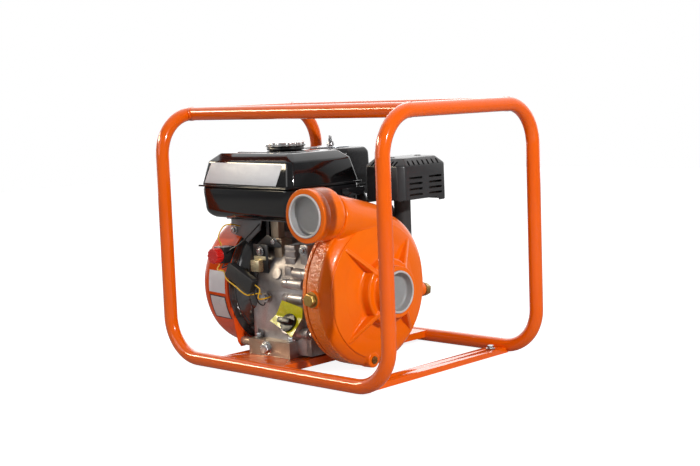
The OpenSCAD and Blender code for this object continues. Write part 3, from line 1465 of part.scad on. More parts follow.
// Hexagon bolts of the engine, the frame and the pump
module bolts() {
    color("silver") {
        foot_bolt_places() bolt(foot_h + base_sheet + 5);
        foot_bolt_places() translate([0, 0, -foot_h - base_sheet - 5]) difference() {
            translate([0, 0, -1]) cylinder(h = 6, r = bolt_r * 1.85, $fn = 6);
            translate([0, 0, -2]) cylinder(h = 8, r = bolt_r + fit_gap);
        }
        bar_bolt_places() bolt(cross_bar_h - 1, 3);
        cover_bolt_places(block_x1 + 12) rotate([0, 90, 0]) bolt(26, 3);
        on_drain() bolt(12, 5);
        on_earth_bolt() translate([0, 0, 5.4 + wire_d]) bolt(8, 3);
        pillar_places() translate([0, 0, pillar_z - 10]) cylinder(h = tank_z0 - 0.5 - pillar_z + 10, r = 3);
        for (sy = [-1, 1], sz = [-1, 1]) on_crank()
            translate([flange_x + bracket_t, sy * cover_bolt_r, sz * cover_bolt_r]) rotate([0, 90, 0])
                bolt(bracket_t + 16);
        on_crank() casing_bolt_places() rotate([0, -90, 0]) bolt(bracket_t + 20, bolt_r - 1);
        duct_bolt_places() translate([block_x0 - 3 - fit_gap, 0, 0]) rotate([0, -90, 0]) bolt(12, 3);
        on_crank() recoil_bolt_places() translate([-recoil_l, 0, 0]) rotate([0, -90, 0])
            bolt(recoil_l + 4, 2.5);
    }
}

front_u_tube();
rear_u_tube();
left_arch();
right_arch();
front_top_tube();
rear_top_tube();
base_plate();
end_cross_bar();
engine_block();
crankcase_cover();
cylinder_head();
rocker_cover();
crank_bearings();
oil_seals();
piston();
wrist_pin();
connecting_rod();
crank_pin();
spark_plug();
plug_lead();
crankshaft();
camshaft();
flywheel();
starter_cup();
fan_shroud();
fan_duct();
recoil_housing();
recoil_reel();
recoil_rope();
recoil_grip();
tank_upper();
tank_lower();
fuel_cap();
tank_bracket();
fuel_hose();
carburettor();
choke_lever();
fuel_tap_lever();
throttle_lever();
air_cleaner_base();
air_cleaner_cover();
filter_element();
wing_nut();
muffler();
muffler_guard();
stop_switch_base();
stop_switch_knob();
low_oil_unit();
yellow_wires();
black_wires();
oil_filler_plug();
pump_bracket();
pump_casing();
impeller();
seal_seat();
seal_ring();
discharge_plug();
suction_plug();
pump_plugs();
bolts();
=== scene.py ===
import math

import bmesh
import bpy
from mathutils import Matrix, Vector


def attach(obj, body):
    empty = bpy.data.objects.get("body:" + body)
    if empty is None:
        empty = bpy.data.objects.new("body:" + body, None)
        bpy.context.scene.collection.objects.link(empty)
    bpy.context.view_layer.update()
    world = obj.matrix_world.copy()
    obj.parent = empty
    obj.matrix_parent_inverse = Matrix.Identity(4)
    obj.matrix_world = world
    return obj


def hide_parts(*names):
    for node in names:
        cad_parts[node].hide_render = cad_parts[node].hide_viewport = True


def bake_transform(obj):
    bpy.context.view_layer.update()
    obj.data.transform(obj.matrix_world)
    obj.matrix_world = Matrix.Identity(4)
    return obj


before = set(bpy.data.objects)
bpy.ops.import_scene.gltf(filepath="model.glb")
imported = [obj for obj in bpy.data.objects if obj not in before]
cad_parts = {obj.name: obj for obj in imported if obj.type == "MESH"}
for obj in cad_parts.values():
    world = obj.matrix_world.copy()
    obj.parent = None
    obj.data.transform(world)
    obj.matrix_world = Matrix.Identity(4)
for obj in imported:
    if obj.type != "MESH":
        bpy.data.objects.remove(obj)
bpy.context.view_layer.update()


# STUDIO
# A pale sheet on the floor, a small key light at the right of the camera, a wide soft light at the left, a strip
# that shows in reflections only, and soft lights above and behind. The camera stands where the photographer did.
def alone(piece):
    """Selects one piece and nothing else."""
    bpy.ops.object.select_all(action="DESELECT")
    piece.select_set(True)
    bpy.context.view_layer.objects.active = piece


def settle(piece):
    """Puts a piece's place, turn and scale into its mesh."""
    alone(piece)
    bpy.ops.object.transform_apply(location=True, rotation=True, scale=True)
    return piece


def started(name, add, **settings):
    """Starts a piece from a primitive, with its place in the mesh."""
    bpy.ops.object.select_all(action="DESELECT")
    add(**settings)
    piece = settle(bpy.context.object)
    piece.name = name
    return piece


def softbox(name, place, aim, wide, high, power):
    """Adds an area light that faces a point."""
    bpy.ops.object.select_all(action="DESELECT")
    bpy.ops.object.light_add(type="AREA", location=place)
    lamp = bpy.context.object
    lamp.name = name
    lamp.data.shape = "RECTANGLE"
    lamp.data.size, lamp.data.size_y = wide, high
    lamp.data.energy = power
    lamp.rotation_euler = (Vector(aim) - Vector(place)).to_track_quat("-Z", "Y").to_euler()
    return lamp


def fed(tree, made, inputs):
    """Feeds a node: a socket is linked to the input it is given for, and a plain value is set there."""
    for name, value in inputs.items():
        socket = made.inputs[name]
        if isinstance(value, bpy.types.NodeSocket):
            tree.links.new(value, socket)
        else:
            socket.default_value = (*value, 1) if socket.type == "RGBA" else value
    return made


def added(tree, kind, inputs, out=0, **settings):
    """Adds a shader node with its settings and inputs; returns one of its outputs."""
    made = tree.nodes.new("ShaderNode" + kind)
    for key, value in settings.items():
        setattr(made, key, value)
    return fed(tree, made, inputs).outputs[out]


def noise(tree, place, scale, detail=2.0, rough=0.5):
    """Adds a noise texture on the piece's own coordinates."""
    return added(tree, "TexNoise", {"Vector": place, "Scale": scale, "Detail": detail, "Roughness": rough}, "Fac")


def ranged(tree, value, low, high, to_low, to_high):
    """Maps a value from one range to another, with its ends held."""
    return added(tree, "MapRange", {"Value": value, "From Min": low, "From Max": high, "To Min": to_low,
                                   "To Max": to_high}, "Result")


def worked(tree, how, first, second):
    """Joins two values with a math node."""
    return added(tree, "Math", {0: first, 1: second}, operation=how)


bpy.ops.object.select_all(action="DESELECT")
bpy.ops.object.camera_add()
camera = bpy.context.object
camera.name = "camera"
camera.matrix_world = (
    Matrix.Translation((1.45437, -1.54287, 0.44534))
    @ Matrix.Rotation(math.radians(43.211), 4, "Z")
    @ Matrix.Rotation(math.radians(90 - 6.402), 4, "X")
    @ Matrix.Rotation(math.radians(-2.128), 4, "Z")
)
camera.data.lens = 67.29
camera.data.sensor_width = 36
bpy.context.scene.camera = camera
bpy.context.scene.view_settings.view_transform = "Standard"
softbox("key_light", (2.364, -0.642, 1.34), (0, 0, 0.2), 0.08, 0.08, 54)
softbox("left_fill", (-0.7, -2.3, 1.1), (0, 0, 0.2), 1.5, 1.5, 15)
strip = softbox("strip_light", (-1.71, -1.31, 1.25), (0, -0.15, 0.2), 1.3, 0.3, 45)
strip.data.color = (1.0, 0.86, 0.62)
strip.visible_diffuse = False
softbox("top_light", (0, 0, 2.4), (0, 0, 0), 2.2, 2.2, 4)
softbox("back_light", (-1.6, 1.8, 1.4), (0, 0, 0.2), 1.4, 1.4, 6)

white, away = (1, 1, 1), (-0.68, 0.72, 0.1)
world = bpy.data.worlds.new("white_room")
world.use_nodes = True
room = world.node_tree
looking = added(room, "TexCoord", {}, "Generated")
facing = added(room, "VectorMath", {0: looking, 1: away}, "Value", operation="DOT_PRODUCT")
behind = ranged(room, facing, 0.0, 0.75, 0.13, 0.95)
mirrored = ranged(room, added(room, "LightPath", {}, "Is Glossy Ray"), 0.0, 1.0, 1.0, 1.9)
glow = fed(room, room.nodes["Background"], {"Color": white, "Strength": worked(room, "MULTIPLY", behind, mirrored)})
backdrop = added(room, "Background", {"Color": white})
straight = added(room, "LightPath", {}, "Is Camera Ray")
either = added(room, "MixShader", {"Fac": straight, 1: glow.outputs[0], 2: backdrop})
fed(room, room.nodes["World Output"], {"Surface": either})
bpy.context.scene.world = world

floor = started("floor_sheet", bpy.ops.mesh.primitive_plane_add, size=8, location=(0, 0, -0.0005))
bpy.ops.object.mode_set(mode="EDIT")
bpy.ops.mesh.subdivide(number_cuts=7)
bpy.ops.object.mode_set(mode="OBJECT")
white_sheet = bpy.data.materials.new("white_sheet")
white_sheet.use_nodes = True
sheet = white_sheet.node_tree
grain = noise(sheet, added(sheet, "TexCoord", {}, "Object"), 0.375)
straight = added(sheet, "LightPath", {}, "Is Camera Ray")
fed(sheet, sheet.nodes["Principled BSDF"], {
    "Base Color": ranged(sheet, grain, 0.0, 1.0, 0.32, 0.35), "Roughness": 0.8, "Emission Color": white,
    "Emission Strength": ranged(sheet, straight, 0.0, 1.0, 0.05, 0.9)})
floor.data.materials.append(white_sheet)


# ROLL FRAME
# Six lengths of round steel tube, bent cold, butted and welded, then sprayed in glossy orange enamel.
# The bottom runs turn up into the posts, and two arches carry the straight top tubes.
MM = 0.001
LEFT, RIGHT, FRONT, BACK, UP, DOWN = (-1, 0, 0), (1, 0, 0), (0, -1, 0), (0, 1, 0), (0, 0, 1), (0, 0, -1)
COLOUR, NUMBER = "NodeSocketColor", "NodeSocketFloat"


def effect_group(name, inputs, outputs):
    """Starts a node group with named sockets; returns its tree, inputs, output node and the piece's coordinates."""
    tree = bpy.data.node_groups.new(name, "ShaderNodeTree")
    for socket, value in inputs.items():
        kind = COLOUR if isinstance(value, tuple) else NUMBER
        made = tree.interface.new_socket(name=socket, in_out="INPUT", socket_type=kind)
        made.default_value = (*value, 1) if isinstance(value, tuple) else value
    for socket in outputs:
        kind = COLOUR if socket == "Colour" else NUMBER
        tree.interface.new_socket(name=socket, in_out="OUTPUT", socket_type=kind)
    given, result = tree.nodes.new("NodeGroupInput").outputs, tree.nodes.new("NodeGroupOutput")
    return tree, given, result, added(tree, "TexCoord", {}, "Object")


def mixed(tree, part, first, second):
    """Mixes two colours by a mask."""
    return added(tree, "Mix", {"Factor": part, 6: first, 7: second}, 2, data_type="RGBA")


def finish(name, group, bump, depth, **values):
    """Makes a material. Its effect group drives colour, roughness and bump; values go to the sockets they name."""
    made = bpy.data.materials.new(name)
    made.use_nodes = True
    tree = made.node_tree
    skin = tree.nodes["Principled BSDF"]
    effect = tree.nodes.new("ShaderNodeGroup")
    effect.node_tree = group
    for key, value in values.items():
        socket = key.replace("_", " ")
        fed(tree, effect if socket in effect.inputs else skin, {socket: value})
    colour, shine, height = effect.outputs
    relief = added(tree, "Bump", {"Strength": bump, "Distance": depth, "Height": height}, "Normal")
    fed(tree, skin, {"Base Color": colour, "Roughness": shine, "Normal": relief})
    return made


enamel, given, result, place = effect_group(
    "sprayed_enamel",
    {"Colour": (0.8, 0.1, 0), "Deep colour": (0.5, 0.05, 0), "Gloss": 0.2, "Dust": 0.3, "Peel size": 260.0},
    ("Colour", "Roughness", "Peel"),
)
drift = ranged(enamel, noise(enamel, place, 13, 3), 0.35, 0.7, 0.0, 0.55)
body_colour = mixed(enamel, drift, given["Colour"], given["Deep colour"])
facing = added(enamel, "SeparateXYZ", {"Vector": added(enamel, "NewGeometry", {}, "Normal")}, "Z")
upward = ranged(enamel, facing, 0.45, 1.0, 0.0, 0.5)
settled = worked(enamel, "MULTIPLY", upward, noise(enamel, place, 90, 6, 0.7))
settled = worked(enamel, "MULTIPLY", settled, given["Dust"])
smear = ranged(enamel, noise(enamel, place, 60, 5, 0.65), 0.4, 0.75, 0.0, 0.06)
fed(enamel, result, {
    "Colour": mixed(enamel, settled, body_colour, (0.5, 0.42, 0.36)),
    "Roughness": worked(enamel, "ADD", given["Gloss"], worked(enamel, "ADD", smear, settled)),
    "Peel": noise(enamel, place, given["Peel size"], 2)})
frame_enamel = finish("frame_enamel", enamel, 0.04, 0.0003, Colour=(0.88, 0.122, 0.001),
                      Deep_colour=(0.80, 0.100, 0.001), Gloss=0.13, Dust=0.02,
                      Specular_IOR_Level=0.25, Coat_Weight=0.4, Coat_Roughness=0.04)


def opened(piece):
    """Opens a piece for shaping, with all of it selected."""
    alone(piece)
    bpy.ops.object.mode_set(mode="EDIT")
    bpy.ops.mesh.select_all(action="SELECT")


def closed(piece, weld=0.0):
    """Welds points that meet, turns all faces outwards and closes the piece again."""
    bpy.ops.mesh.select_all(action="SELECT")
    if weld:
        bpy.ops.mesh.remove_doubles(threshold=weld)
    bpy.ops.mesh.normals_make_consistent(inside=False)
    bpy.ops.object.mode_set(mode="OBJECT")
    return piece


def bent_tube(name, start, heading, radius, moves, around=32, steps=14):
    """Draws a tube from its start. A number is a straight run; (new heading, bend radius) is a bend."""
    at, heading = Vector(start) * MM, Vector(heading)
    piece = started(name, bpy.ops.mesh.primitive_circle_add, vertices=around, radius=radius * MM,
                    fill_type="NGON", location=at, rotation=heading.to_track_quat("Z", "Y").to_euler())
    opened(piece)
    for move in moves:
        if isinstance(move, (int, float)):
            bpy.ops.mesh.extrude_region_move(TRANSFORM_OT_translate={"value": heading * move * MM})
            at = at + heading * move * MM
        else:
            turn, bend = Vector(move[0]), move[1] * MM
            centre = at + turn * bend
            bpy.ops.mesh.spin(steps=steps, angle=-math.pi / 2, center=centre, axis=heading.cross(turn))
            at, heading = centre + heading * bend, turn
    return closed(piece, 1e-6)


def joined(name, *pieces):
    """Joins pieces into one object."""
    alone(pieces[0])
    for piece in pieces:
        piece.select_set(True)
    bpy.ops.object.join()
    pieces[0].name = name
    return pieces[0]


def ready(piece, material, slot, *nodes, body="frame", smooth=35):
    """Finishes a piece: smooth shading, its material, its body and the CAD nodes it stands for. The slot is not
    used.
    """
    settle(piece)
    bpy.ops.object.shade_smooth_by_angle(angle=math.radians(smooth))
    piece.data.materials.clear()
    piece.data.materials.append(material)
    if body:
        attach(piece, body)
    if nodes:
        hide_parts(*nodes)
    return piece


post_x, post_y, tube_r, bend_r, top_z, butt_z, run_y = 242, 180.5, 11, 65, 409, 215, 117.5
for name, node, side in (("front_bent_tube", "front_u_tube", -1), ("rear_bent_tube", "rear_u_tube", 1)):
    leg = butt_z - tube_r - bend_r
    ready(bent_tube(name, (-post_x, side * post_y, butt_z), DOWN, tube_r,
                    [leg, (RIGHT, bend_r), 2 * (post_x - bend_r), (UP, bend_r), leg]),
          frame_enamel, "frame_paint", node)
for name, node, side in (("starter_end_arch", "left_arch", -1), ("pump_end_arch", "right_arch", 1)):
    leg = top_z - bend_r - butt_z
    ready(bent_tube(name, (side * post_x, -post_y, butt_z), UP, tube_r,
                    [leg, (BACK, bend_r), 2 * (post_y - bend_r), (DOWN, bend_r), leg]),
          frame_enamel, "frame_paint", node)

# A rippled weld bead follows the arch's round side at each end of a top tube.
bead_r, bead_wide, mouth_r, ripple_high, ripples = 0.0118, 0.0021, 0.0121, 0.0004, 22
for name, node, side in (("front_top_run", "front_top_tube", -1), ("rear_top_run", "rear_top_tube", 1)):
    run = bent_tube(name, (-post_x + 4, side * run_y, top_z), RIGHT, tube_r, [2 * post_x - 8])
    for end in (-1, 1):
        bead = started("bead", bpy.ops.mesh.primitive_torus_add, rotation=(0, math.pi / 2, 0),
                       location=(end * post_x * MM, side * run_y * MM, top_z * MM), major_radius=bead_r,
                       minor_radius=bead_wide, major_segments=48, minor_segments=8)
        for point in bead.data.vertices:
            aside, above = point.co.y - side * run_y * MM, point.co.z - top_z * MM
            ripple = ripple_high * math.sin(ripples * math.atan2(above, aside))
            climb = math.sqrt(max(0, mouth_r ** 2 - above ** 2))
            held = min(1.0, (0.0112 + 0.0025 * climb / mouth_r) / math.hypot(aside, above))
            point.co.y = side * run_y * MM + aside * held
            point.co.z = top_z * MM + above * held
            point.co.x -= end * (climb + ripple)
        run = joined(name, run, bead)
    ready(run, frame_enamel, "frame_paint", node)


# PUMP CASING
# A volute cast in one piece with its suction hub, four ribs and the pipe that climbs to the discharge boss.
# The casting is sprayed orange all over, rougher on its rim, and only the two threaded ports are machined.
def rounded(profile, corner, steps=3):
    """Rounds the inner corners of a profile; a point may carry its own corner radius."""
    out = [profile[0][:2]]
    for before, here, after in zip(profile, profile[1:], profile[2:]):
        p, a, b = Vector(here[:2]), Vector(before[:2]), Vector(after[:2])
        reach = here[2] if len(here) > 2 else corner
        reach = min(reach, (a - p).length * 0.48, (b - p).length * 0.48)
        if reach < 0.02:
            out.append(tuple(p))
            continue
        a, b = p + (a - p).normalized() * reach, p + (b - p).normalized() * reach
        for i in range(steps + 1):
            t = i / steps
            out.append(tuple(a * (1 - t) ** 2 + p * 2 * t * (1 - t) + b * t * t))
    out.append(profile[-1][:2])
    return out


def placed(piece, at, along):
    """Stands a piece with its axis along a direction, at a point."""
    turn = Vector(along).to_track_quat("Z", "Y").to_matrix().to_4x4()
    piece.matrix_world = Matrix.Translation(Vector(at) * MM) @ turn
    return settle(piece)


def traced(name, start, moves):
    """Draws a line move by move from its start and leaves it open for shaping."""
    piece = started(name, bpy.ops.mesh.primitive_plane_add, size=MM, location=start)
    opened(piece)
    bpy.ops.mesh.merge(type="CENTER")
    for move in moves:
        bpy.ops.mesh.extrude_vertices_move(TRANSFORM_OT_translate={"value": move})
    bpy.ops.mesh.select_all(action="SELECT")
    return piece


def turned(name, profile, at, along, corner=0.0, steps=72):
    """Turns a profile of (distance along the axis, radius) points round its axis, as on a lathe."""
    line = rounded(profile, corner)
    piece = traced(name, (line[0][1] * MM, 0, line[0][0] * MM),
                   [((rb - ra) * MM, 0, (b - a) * MM) for (a, ra), (b, rb) in zip(line, line[1:])])
    bpy.ops.mesh.spin(steps=steps, angle=2 * math.pi, center=(0, 0, 0), axis=(0, 0, 1))
    return placed(closed(piece, 2e-6), at, along)


def flat_solid(name, outline, push):
    """Draws a flat outline point by point, fills it and pushes it out into a solid."""
    points = [Vector(p) * MM for p in outline]
    piece = traced(name, points[0], [b - a for a, b in zip(points, points[1:])])
    bpy.ops.mesh.edge_face_add()
    bpy.ops.mesh.extrude_region_move(TRANSFORM_OT_translate={"value": Vector(push) * MM})
    return closed(piece)


def applied(piece, kind, **settings):
    """Adds a modifier with its settings and applies it."""
    alone(piece)
    made = piece.modifiers.new(kind.lower(), kind)
    for key, value in settings.items():
        setattr(made, key, value)
    bpy.ops.object.modifier_apply(modifier=made.name)
    return piece


def softened(piece, width, segments=2, angle=30):
    """Rounds the sharp edges of a piece."""
    return applied(piece, "BEVEL", width=width * MM, segments=segments, limit_method="ANGLE",
                   angle_limit=math.radians(angle), use_clamp_overlap=True)


def cut(piece, *cutters):
    """Cuts shapes out of a piece and removes the cutters."""
    for cutter in cutters:
        applied(piece, "BOOLEAN", operation="DIFFERENCE", solver="EXACT", object=cutter)
        bpy.data.objects.remove(cutter)
    return piece


def turned_to(piece, axis, degrees, centre):
    """Turns a piece about an axis through a point."""
    at = Matrix.Translation(Vector(centre) * MM)
    piece.data.transform(at @ Matrix.Rotation(math.radians(degrees), 4, axis) @ at.inverted())
    return piece


crank_y, crank_z, priming_lean = -34, 126, -8
pump_axis, port_at, hub_at = (0, crank_y, crank_z), (70, -166, 254), (136, crank_y, crank_z)
drain_y, drain_z = crank_y - 19.1, 17.7


def on_shaft(name, profile, steps=128):
    """Turns a profile round the crankshaft's axis, which the pump shares."""
    return turned(name, profile, pump_axis, RIGHT, steps=steps)


casing = on_shaft("volute_casing", [
    (53.8, 98), (53.8, 117), (57, 117), (58, 120.6), (82.8, 120.8, 6), (93.5, 108, 5), (103.2, 51.5, 5),
    (121, 51.5, 3), (121, 40, 2), (136, 40, 1), (136, 33.6), (124, 33.6), (124, 28.4), (90.8, 28.4), (90.8, 51),
    (82.8, 98), (53.8, 98)])
rib_half = 3.6
rib_side = [(88, 36), (124.5, 36), (124.5, 46), (119.5, 55), (96.5, 104), (88, 104)]
ribs = [turned_to(flat_solid("rib", [(x, crank_y - rib_half, crank_z + r) for x, r in rib_side],
                             (0, 2 * rib_half, 0)), "X", angle, pump_axis) for angle in (45, 135, 225, 315)]
climb = math.radians(81)
pipe = turned("pipe", [(10, 0), (10, 22, 12), (30, 28.5), (116, 36.6), (124, 36.6), (124, 0)],
              (67, 12, 227), (0, -math.sin(climb), math.cos(climb)), corner=4, steps=64)
boss = turned("boss", [(0, 0), (0, 41, 1), (44, 41, 10), (52, 34, 4), (52, 0)], port_at, BACK, steps=96)
drain_boss = turned("drain_boss", [(-6, 0), (-6, 13), (14, 12.4, 1.5), (14, 0)], (83, drain_y, drain_z), RIGHT)
gauge_boss = turned("gauge_boss", [(-8, 0), (-8, 17, 4), (10, 14, 3), (25, 13, 1.5), (25, 0)],
                    (70, -134, crank_z), FRONT)
priming_boss = turned("priming_boss", [(0, 0), (0, 15, 4), (14, 12.5, 2), (27, 12, 1.5), (27, 0)],
                      (76, 65.5, crank_z), BACK)
turned_to(priming_boss, "X", priming_lean, pump_axis)
swell = turned("swell", [(60, 60), (60, 117.5, 3), (82, 117.5, 8), (92, 105, 6), (98, 60), (60, 60)],
               (0, crank_y + 4.5, crank_z + 6), RIGHT, steps=128)
casing = joined("volute_casing", casing, swell, *ribs, pipe, boss, drain_boss, gauge_boss, priming_boss)
applied(casing, "REMESH", mode="VOXEL", voxel_size=1.3 * MM)
applied(casing, "SMOOTH", factor=0.5, iterations=3)
port_bore = turned("port_bore", [(-2, 0), (-2, 33.7), (12, 33.7), (12, 28.5), (48, 28.4), (70, 16), (70, 0)],
                   port_at, BACK, steps=96)
suction_bore = turned("suction_bore", [(-40, 0), (-40, 28.5), (-12, 28.5), (-12, 33.7), (2, 33.7), (2, 0)],
                      hub_at, RIGHT, steps=96)
drain_bore = turned("drain_bore", [(-6, 0), (-6, 6.2), (2, 6.2), (2, 0)], (97, drain_y, drain_z), RIGHT, steps=32)
cut(casing, port_bore, suction_bore, drain_bore)
port_rim = turned("port_rim", [(-0.4, 33.7), (-0.4, 41.3, 1), (13.5, 41.3), (14, 40.8), (13.9, 36), (0, 33.7),
                               (-0.4, 33.7)], port_at, BACK, steps=96)
hub_rim = turned("hub_rim", [(0.4, 33.7), (0.4, 40.2, 1), (-6, 40.2), (-6.4, 39.6), (-6.4, 36), (0, 33.7),
                             (0.4, 33.7)], hub_at, RIGHT, steps=96)
face_edge = on_shaft("face_edge", [(90, 107), (95.6, 106.6, 0.8), (97.9, 88), (98.7, 76), (95, 76), (90, 107)])
casing = joined("volute_casing", casing, port_rim, hub_rim, face_edge)
pump_enamel = finish("pump_enamel", enamel, 0.35, 0.0006, Colour=(0.90, 0.155, 0.0),
                     Deep_colour=(0.82, 0.122, 0.0), Gloss=0.28, Dust=0.02,
                     Specular_IOR_Level=0.2, Coat_Weight=0.15, Coat_Roughness=0.1)
ready(casing, pump_enamel, "pump_paint", "pump_casing", smooth=50)
rough_enamel = finish("rough_enamel", enamel, 1.0, 0.003, Colour=(0.95, 0.215, 0.012),
                      Deep_colour=(0.84, 0.15, 0.004), Gloss=0.1, Dust=0.05, Peel_size=200.0,
                      Specular_IOR_Level=0.6)
band = on_shaft("casing_band", [(54.8, 117), (54.8, 121.2, 1), (79.5, 121.2, 1.5), (80.4, 120), (79, 117),
                                (54.8, 117)])
ready(band, rough_enamel, "pump_paint")

# PUMP BRACKET
# A cast disc with eight bolt lugs, fixed to the engine's flange and sprayed with the casing.
# The casing's rim closes on it, with a thin black ring in the groove between them as painted shade.
bracket = on_shaft("bracket_disc", [(44.05, 16), (44.05, 118.5, 2), (46, 121, 1), (52.2, 121, 0.8), (52.4, 117),
                                    (53, 116.5), (53, 99), (48, 99), (48, 16), (44.05, 16)])


def round_shaft(x, radius, degrees):
    """Gives a point round the crankshaft's axis."""
    a = math.radians(degrees)
    return (x, crank_y + radius * math.cos(a), crank_z + radius * math.sin(a))


lugs = [turned("lug", [(43.0, 0), (43.0, 9), (44.3, 10.5), (44.3, 0)], round_shaft(0, 110, 22.5 + 45 * i), RIGHT,
               steps=32) for i in range(8)]
ready(joined("bracket_disc", bracket, *lugs), rough_enamel, "pump_paint", "pump_bracket")
# A thin black ring fills the groove between the bracket and the casing's rim: painted shade.
groove_shade_black = finish("groove_shade_black", enamel, 0.2, 0.0004, Colour=(0.02, 0.012, 0.008),
                      Deep_colour=(0.012, 0.008, 0.006), Gloss=0.6, Dust=0.0)
shade_ring = on_shaft("groove_shade_ring", [(52.5, 112), (52.5, 117.8, 0.3), (54.7, 117.8, 0.3), (54.7, 112), (52.5, 112)])
ready(shade_ring, groove_shade_black, "black_rubber")

# DUST PLUGS
# Two grey cups pushed into the open ports to keep dirt out. They are moulded in thin plastic,
# and the front face of each rolled lip is painted paler, a painted highlight.
moulded, given, result, place = effect_group(
    "moulded_skin",
    {"Colour": (0.1, 0.1, 0.1), "Worn colour": (0.2, 0.2, 0.2), "Gloss": 0.4, "Grain size": 900.0},
    ("Colour", "Roughness", "Grain"),
)
patch = ranged(moulded, noise(moulded, place, 38, 5, 0.6), 0.4, 0.8, 0.0, 0.6)
smear = ranged(moulded, noise(moulded, place, 120, 4), 0.35, 0.75, -0.04, 0.12)
fed(moulded, result, {
    "Colour": mixed(moulded, patch, given["Colour"], given["Worn colour"]),
    "Roughness": worked(moulded, "ADD", given["Gloss"], smear),
    "Grain": noise(moulded, place, given["Grain size"], 2)})
plug_grey = finish("plug_grey", moulded, 0.12, 0.0003, Colour=(0.30, 0.288, 0.285),
                   Worn_colour=(0.36, 0.345, 0.34), Gloss=0.42, Grain_size=600.0, Subsurface_Weight=0.08)
# A paler copy of the cup's grey for the lip's front face: a painted highlight.
plug_lip_highlight = finish("plug_lip_highlight", moulded, 0.1, 0.0003, Colour=(0.52, 0.50, 0.49), Worn_colour=(0.45, 0.43, 0.42),
                  Gloss=0.4, Grain_size=600.0)
lip_depth, lip_inner = 0.0005, 0.0282
for name, node, body, at, along in (
    ("discharge_cup", "discharge_plug", "discharge_cap", port_at, FRONT),
    ("suction_cup", "suction_plug", "suction_cap", hub_at, RIGHT),
):
    cup = turned(name, [(-11.8, 0), (-11.8, 33.3, 1), (2.2, 33.4, 1), (3, 32.4, 0.6), (3, 30.9, 0.6),
                        (2.2, 30.0, 0.5), (-8.5, 28.8, 2.0), (-10.4, 25, 2), (-10.6, 6, 1), (-10.2, 0)],
                 at, along, steps=96)
    ready(cup, plug_grey, "grey_plastic", node, body=body)
    cup.data.materials.append(plug_lip_highlight)
    # Faces on the front of the lip get the painted highlight.
    for face in cup.data.polygons:
        off = face.center - Vector(at) * MM
        depth = off.dot(Vector(along))
        face.material_index = int(depth > lip_depth and (off - Vector(along) * depth).length > lip_inner)

# PUMP PLUGS
# Hexagon plugs turned from brass bar: gauge plug at the front, priming plug at the back, drain plug below.
# The heads are chamfered, with a thin fibre washer under each.
plated, given, result, place = effect_group(
    "plated_metal",
    {"Colour": (0.6, 0.6, 0.6), "Tarnish": (0.3, 0.3, 0.3), "Gloss": 0.25, "Stain": 0.5},
    ("Colour", "Roughness", "Scratches"),
)
stain = ranged(plated, noise(plated, place, 110, 6, 0.7), 0.4, 0.72, 0.0, 1.0)
stain = worked(plated, "MULTIPLY", stain, given["Stain"])
lines = noise(plated, added(plated, "Mapping", {"Vector": place, "Scale": (60, 900, 900)}), 1.0, 3)
rough = worked(plated, "ADD", given["Gloss"], ranged(plated, lines, 0.3, 0.8, -0.05, 0.1))
fed(plated, result, {
    "Colour": mixed(plated, stain, given["Colour"], given["Tarnish"]),
    "Roughness": worked(plated, "ADD", rough, worked(plated, "MULTIPLY", stain, 0.2)), "Scratches": lines})
brass = finish("turned_brass", plated, 0.1, 0.0002, Colour=(0.42, 0.27, 0.08), Tarnish=(0.20, 0.12, 0.045),
               Gloss=0.3, Stain=0.7, Metallic=1.0)


def top_face(piece):
    """Selects the upper face of an opened piece."""
    bpy.ops.mesh.select_all(action="DESELECT")
    shape = bmesh.from_edit_mesh(piece.data)
    max(shape.faces, key=lambda face: face.calc_center_median().z).select = True
    bmesh.update_edit_mesh(piece.data)


def hexagon_head(name, across, height, washer, at, along, turn=0.0):
    """Models a hexagon head with a chamfered crown on its washer. The shank stays hidden in its hole."""
    head = started(name, bpy.ops.mesh.primitive_cylinder_add, vertices=6, radius=across * MM, depth=height * MM,
                   location=(0, 0, height * MM / 2), rotation=(0, 0, turn))
    opened(head)
    top_face(head)
    bpy.ops.mesh.inset(thickness=across * 0.13 * MM, depth=across * 0.09 * MM)
    bpy.ops.mesh.bevel(offset=across * 0.05 * MM, segments=2, affect="EDGES")
    bpy.ops.object.mode_set(mode="OBJECT")
    softened(head, across * 0.05, 1, 40)
    if washer:
        ring = turned("washer", [(-1.6, 0), (-1.6, washer, 0.5), (0.05, washer, 0.5), (0.05, 0)], (0, 0, 0), UP,
                      steps=32)
        head = joined(name, head, ring)
    return placed(head, at, along)


gauge = hexagon_head("gauge_plug", 11, 6.5, 12.5, (70, -160.4, crank_z), FRONT, 0.3)
priming = hexagon_head("priming_plug", 11, 11, 12, (76, crank_y + 128.6, crank_z), BACK)
turned_to(priming, "X", priming_lean, pump_axis)
drain = turned("drain_plug", [(-4, 0), (-4, 6), (2.2, 6, 1), (2.4, 4.6), (2.4, 0)], (97, drain_y, drain_z), RIGHT,
               steps=32)
cut(drain, started("driver_slot", bpy.ops.mesh.primitive_cube_add, size=1, scale=(0.004, 0.02, 0.0016),
                   location=(0.0995, drain_y * MM, drain_z * MM)))
ready(joined("pump_hexagon_plugs", gauge, priming, drain), brass, "bronze", "pump_plugs", smooth=30)


# ENGINE PLATE AND CROSS BAR
# Pressed steel channels welded across the two bottom runs, sprayed with the frame in the same orange.
# The engine is bolted to the wide plate, and the narrow bar stiffens the pump end.
def eased(name, node, width=0.8, angle=38):
    """Copies a CAD solid, merges its loose faces and breaks its sharp edges."""
    piece = bpy.data.objects.new(name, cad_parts[node].data.copy())
    bpy.context.collection.objects.link(piece)
    opened(piece)
    bpy.ops.mesh.remove_doubles(threshold=1e-5)
    bpy.ops.mesh.dissolve_limited(angle_limit=math.radians(1))
    bpy.ops.object.mode_set(mode="OBJECT")
    return softened(piece, width, 2, angle)


ready(eased("pressed_engine_plate", "base_plate", 1.2), frame_enamel, "frame_paint", "base_plate")
ready(eased("pressed_cross_bar", "end_cross_bar", 1.2), frame_enamel, "frame_paint", "end_cross_bar")

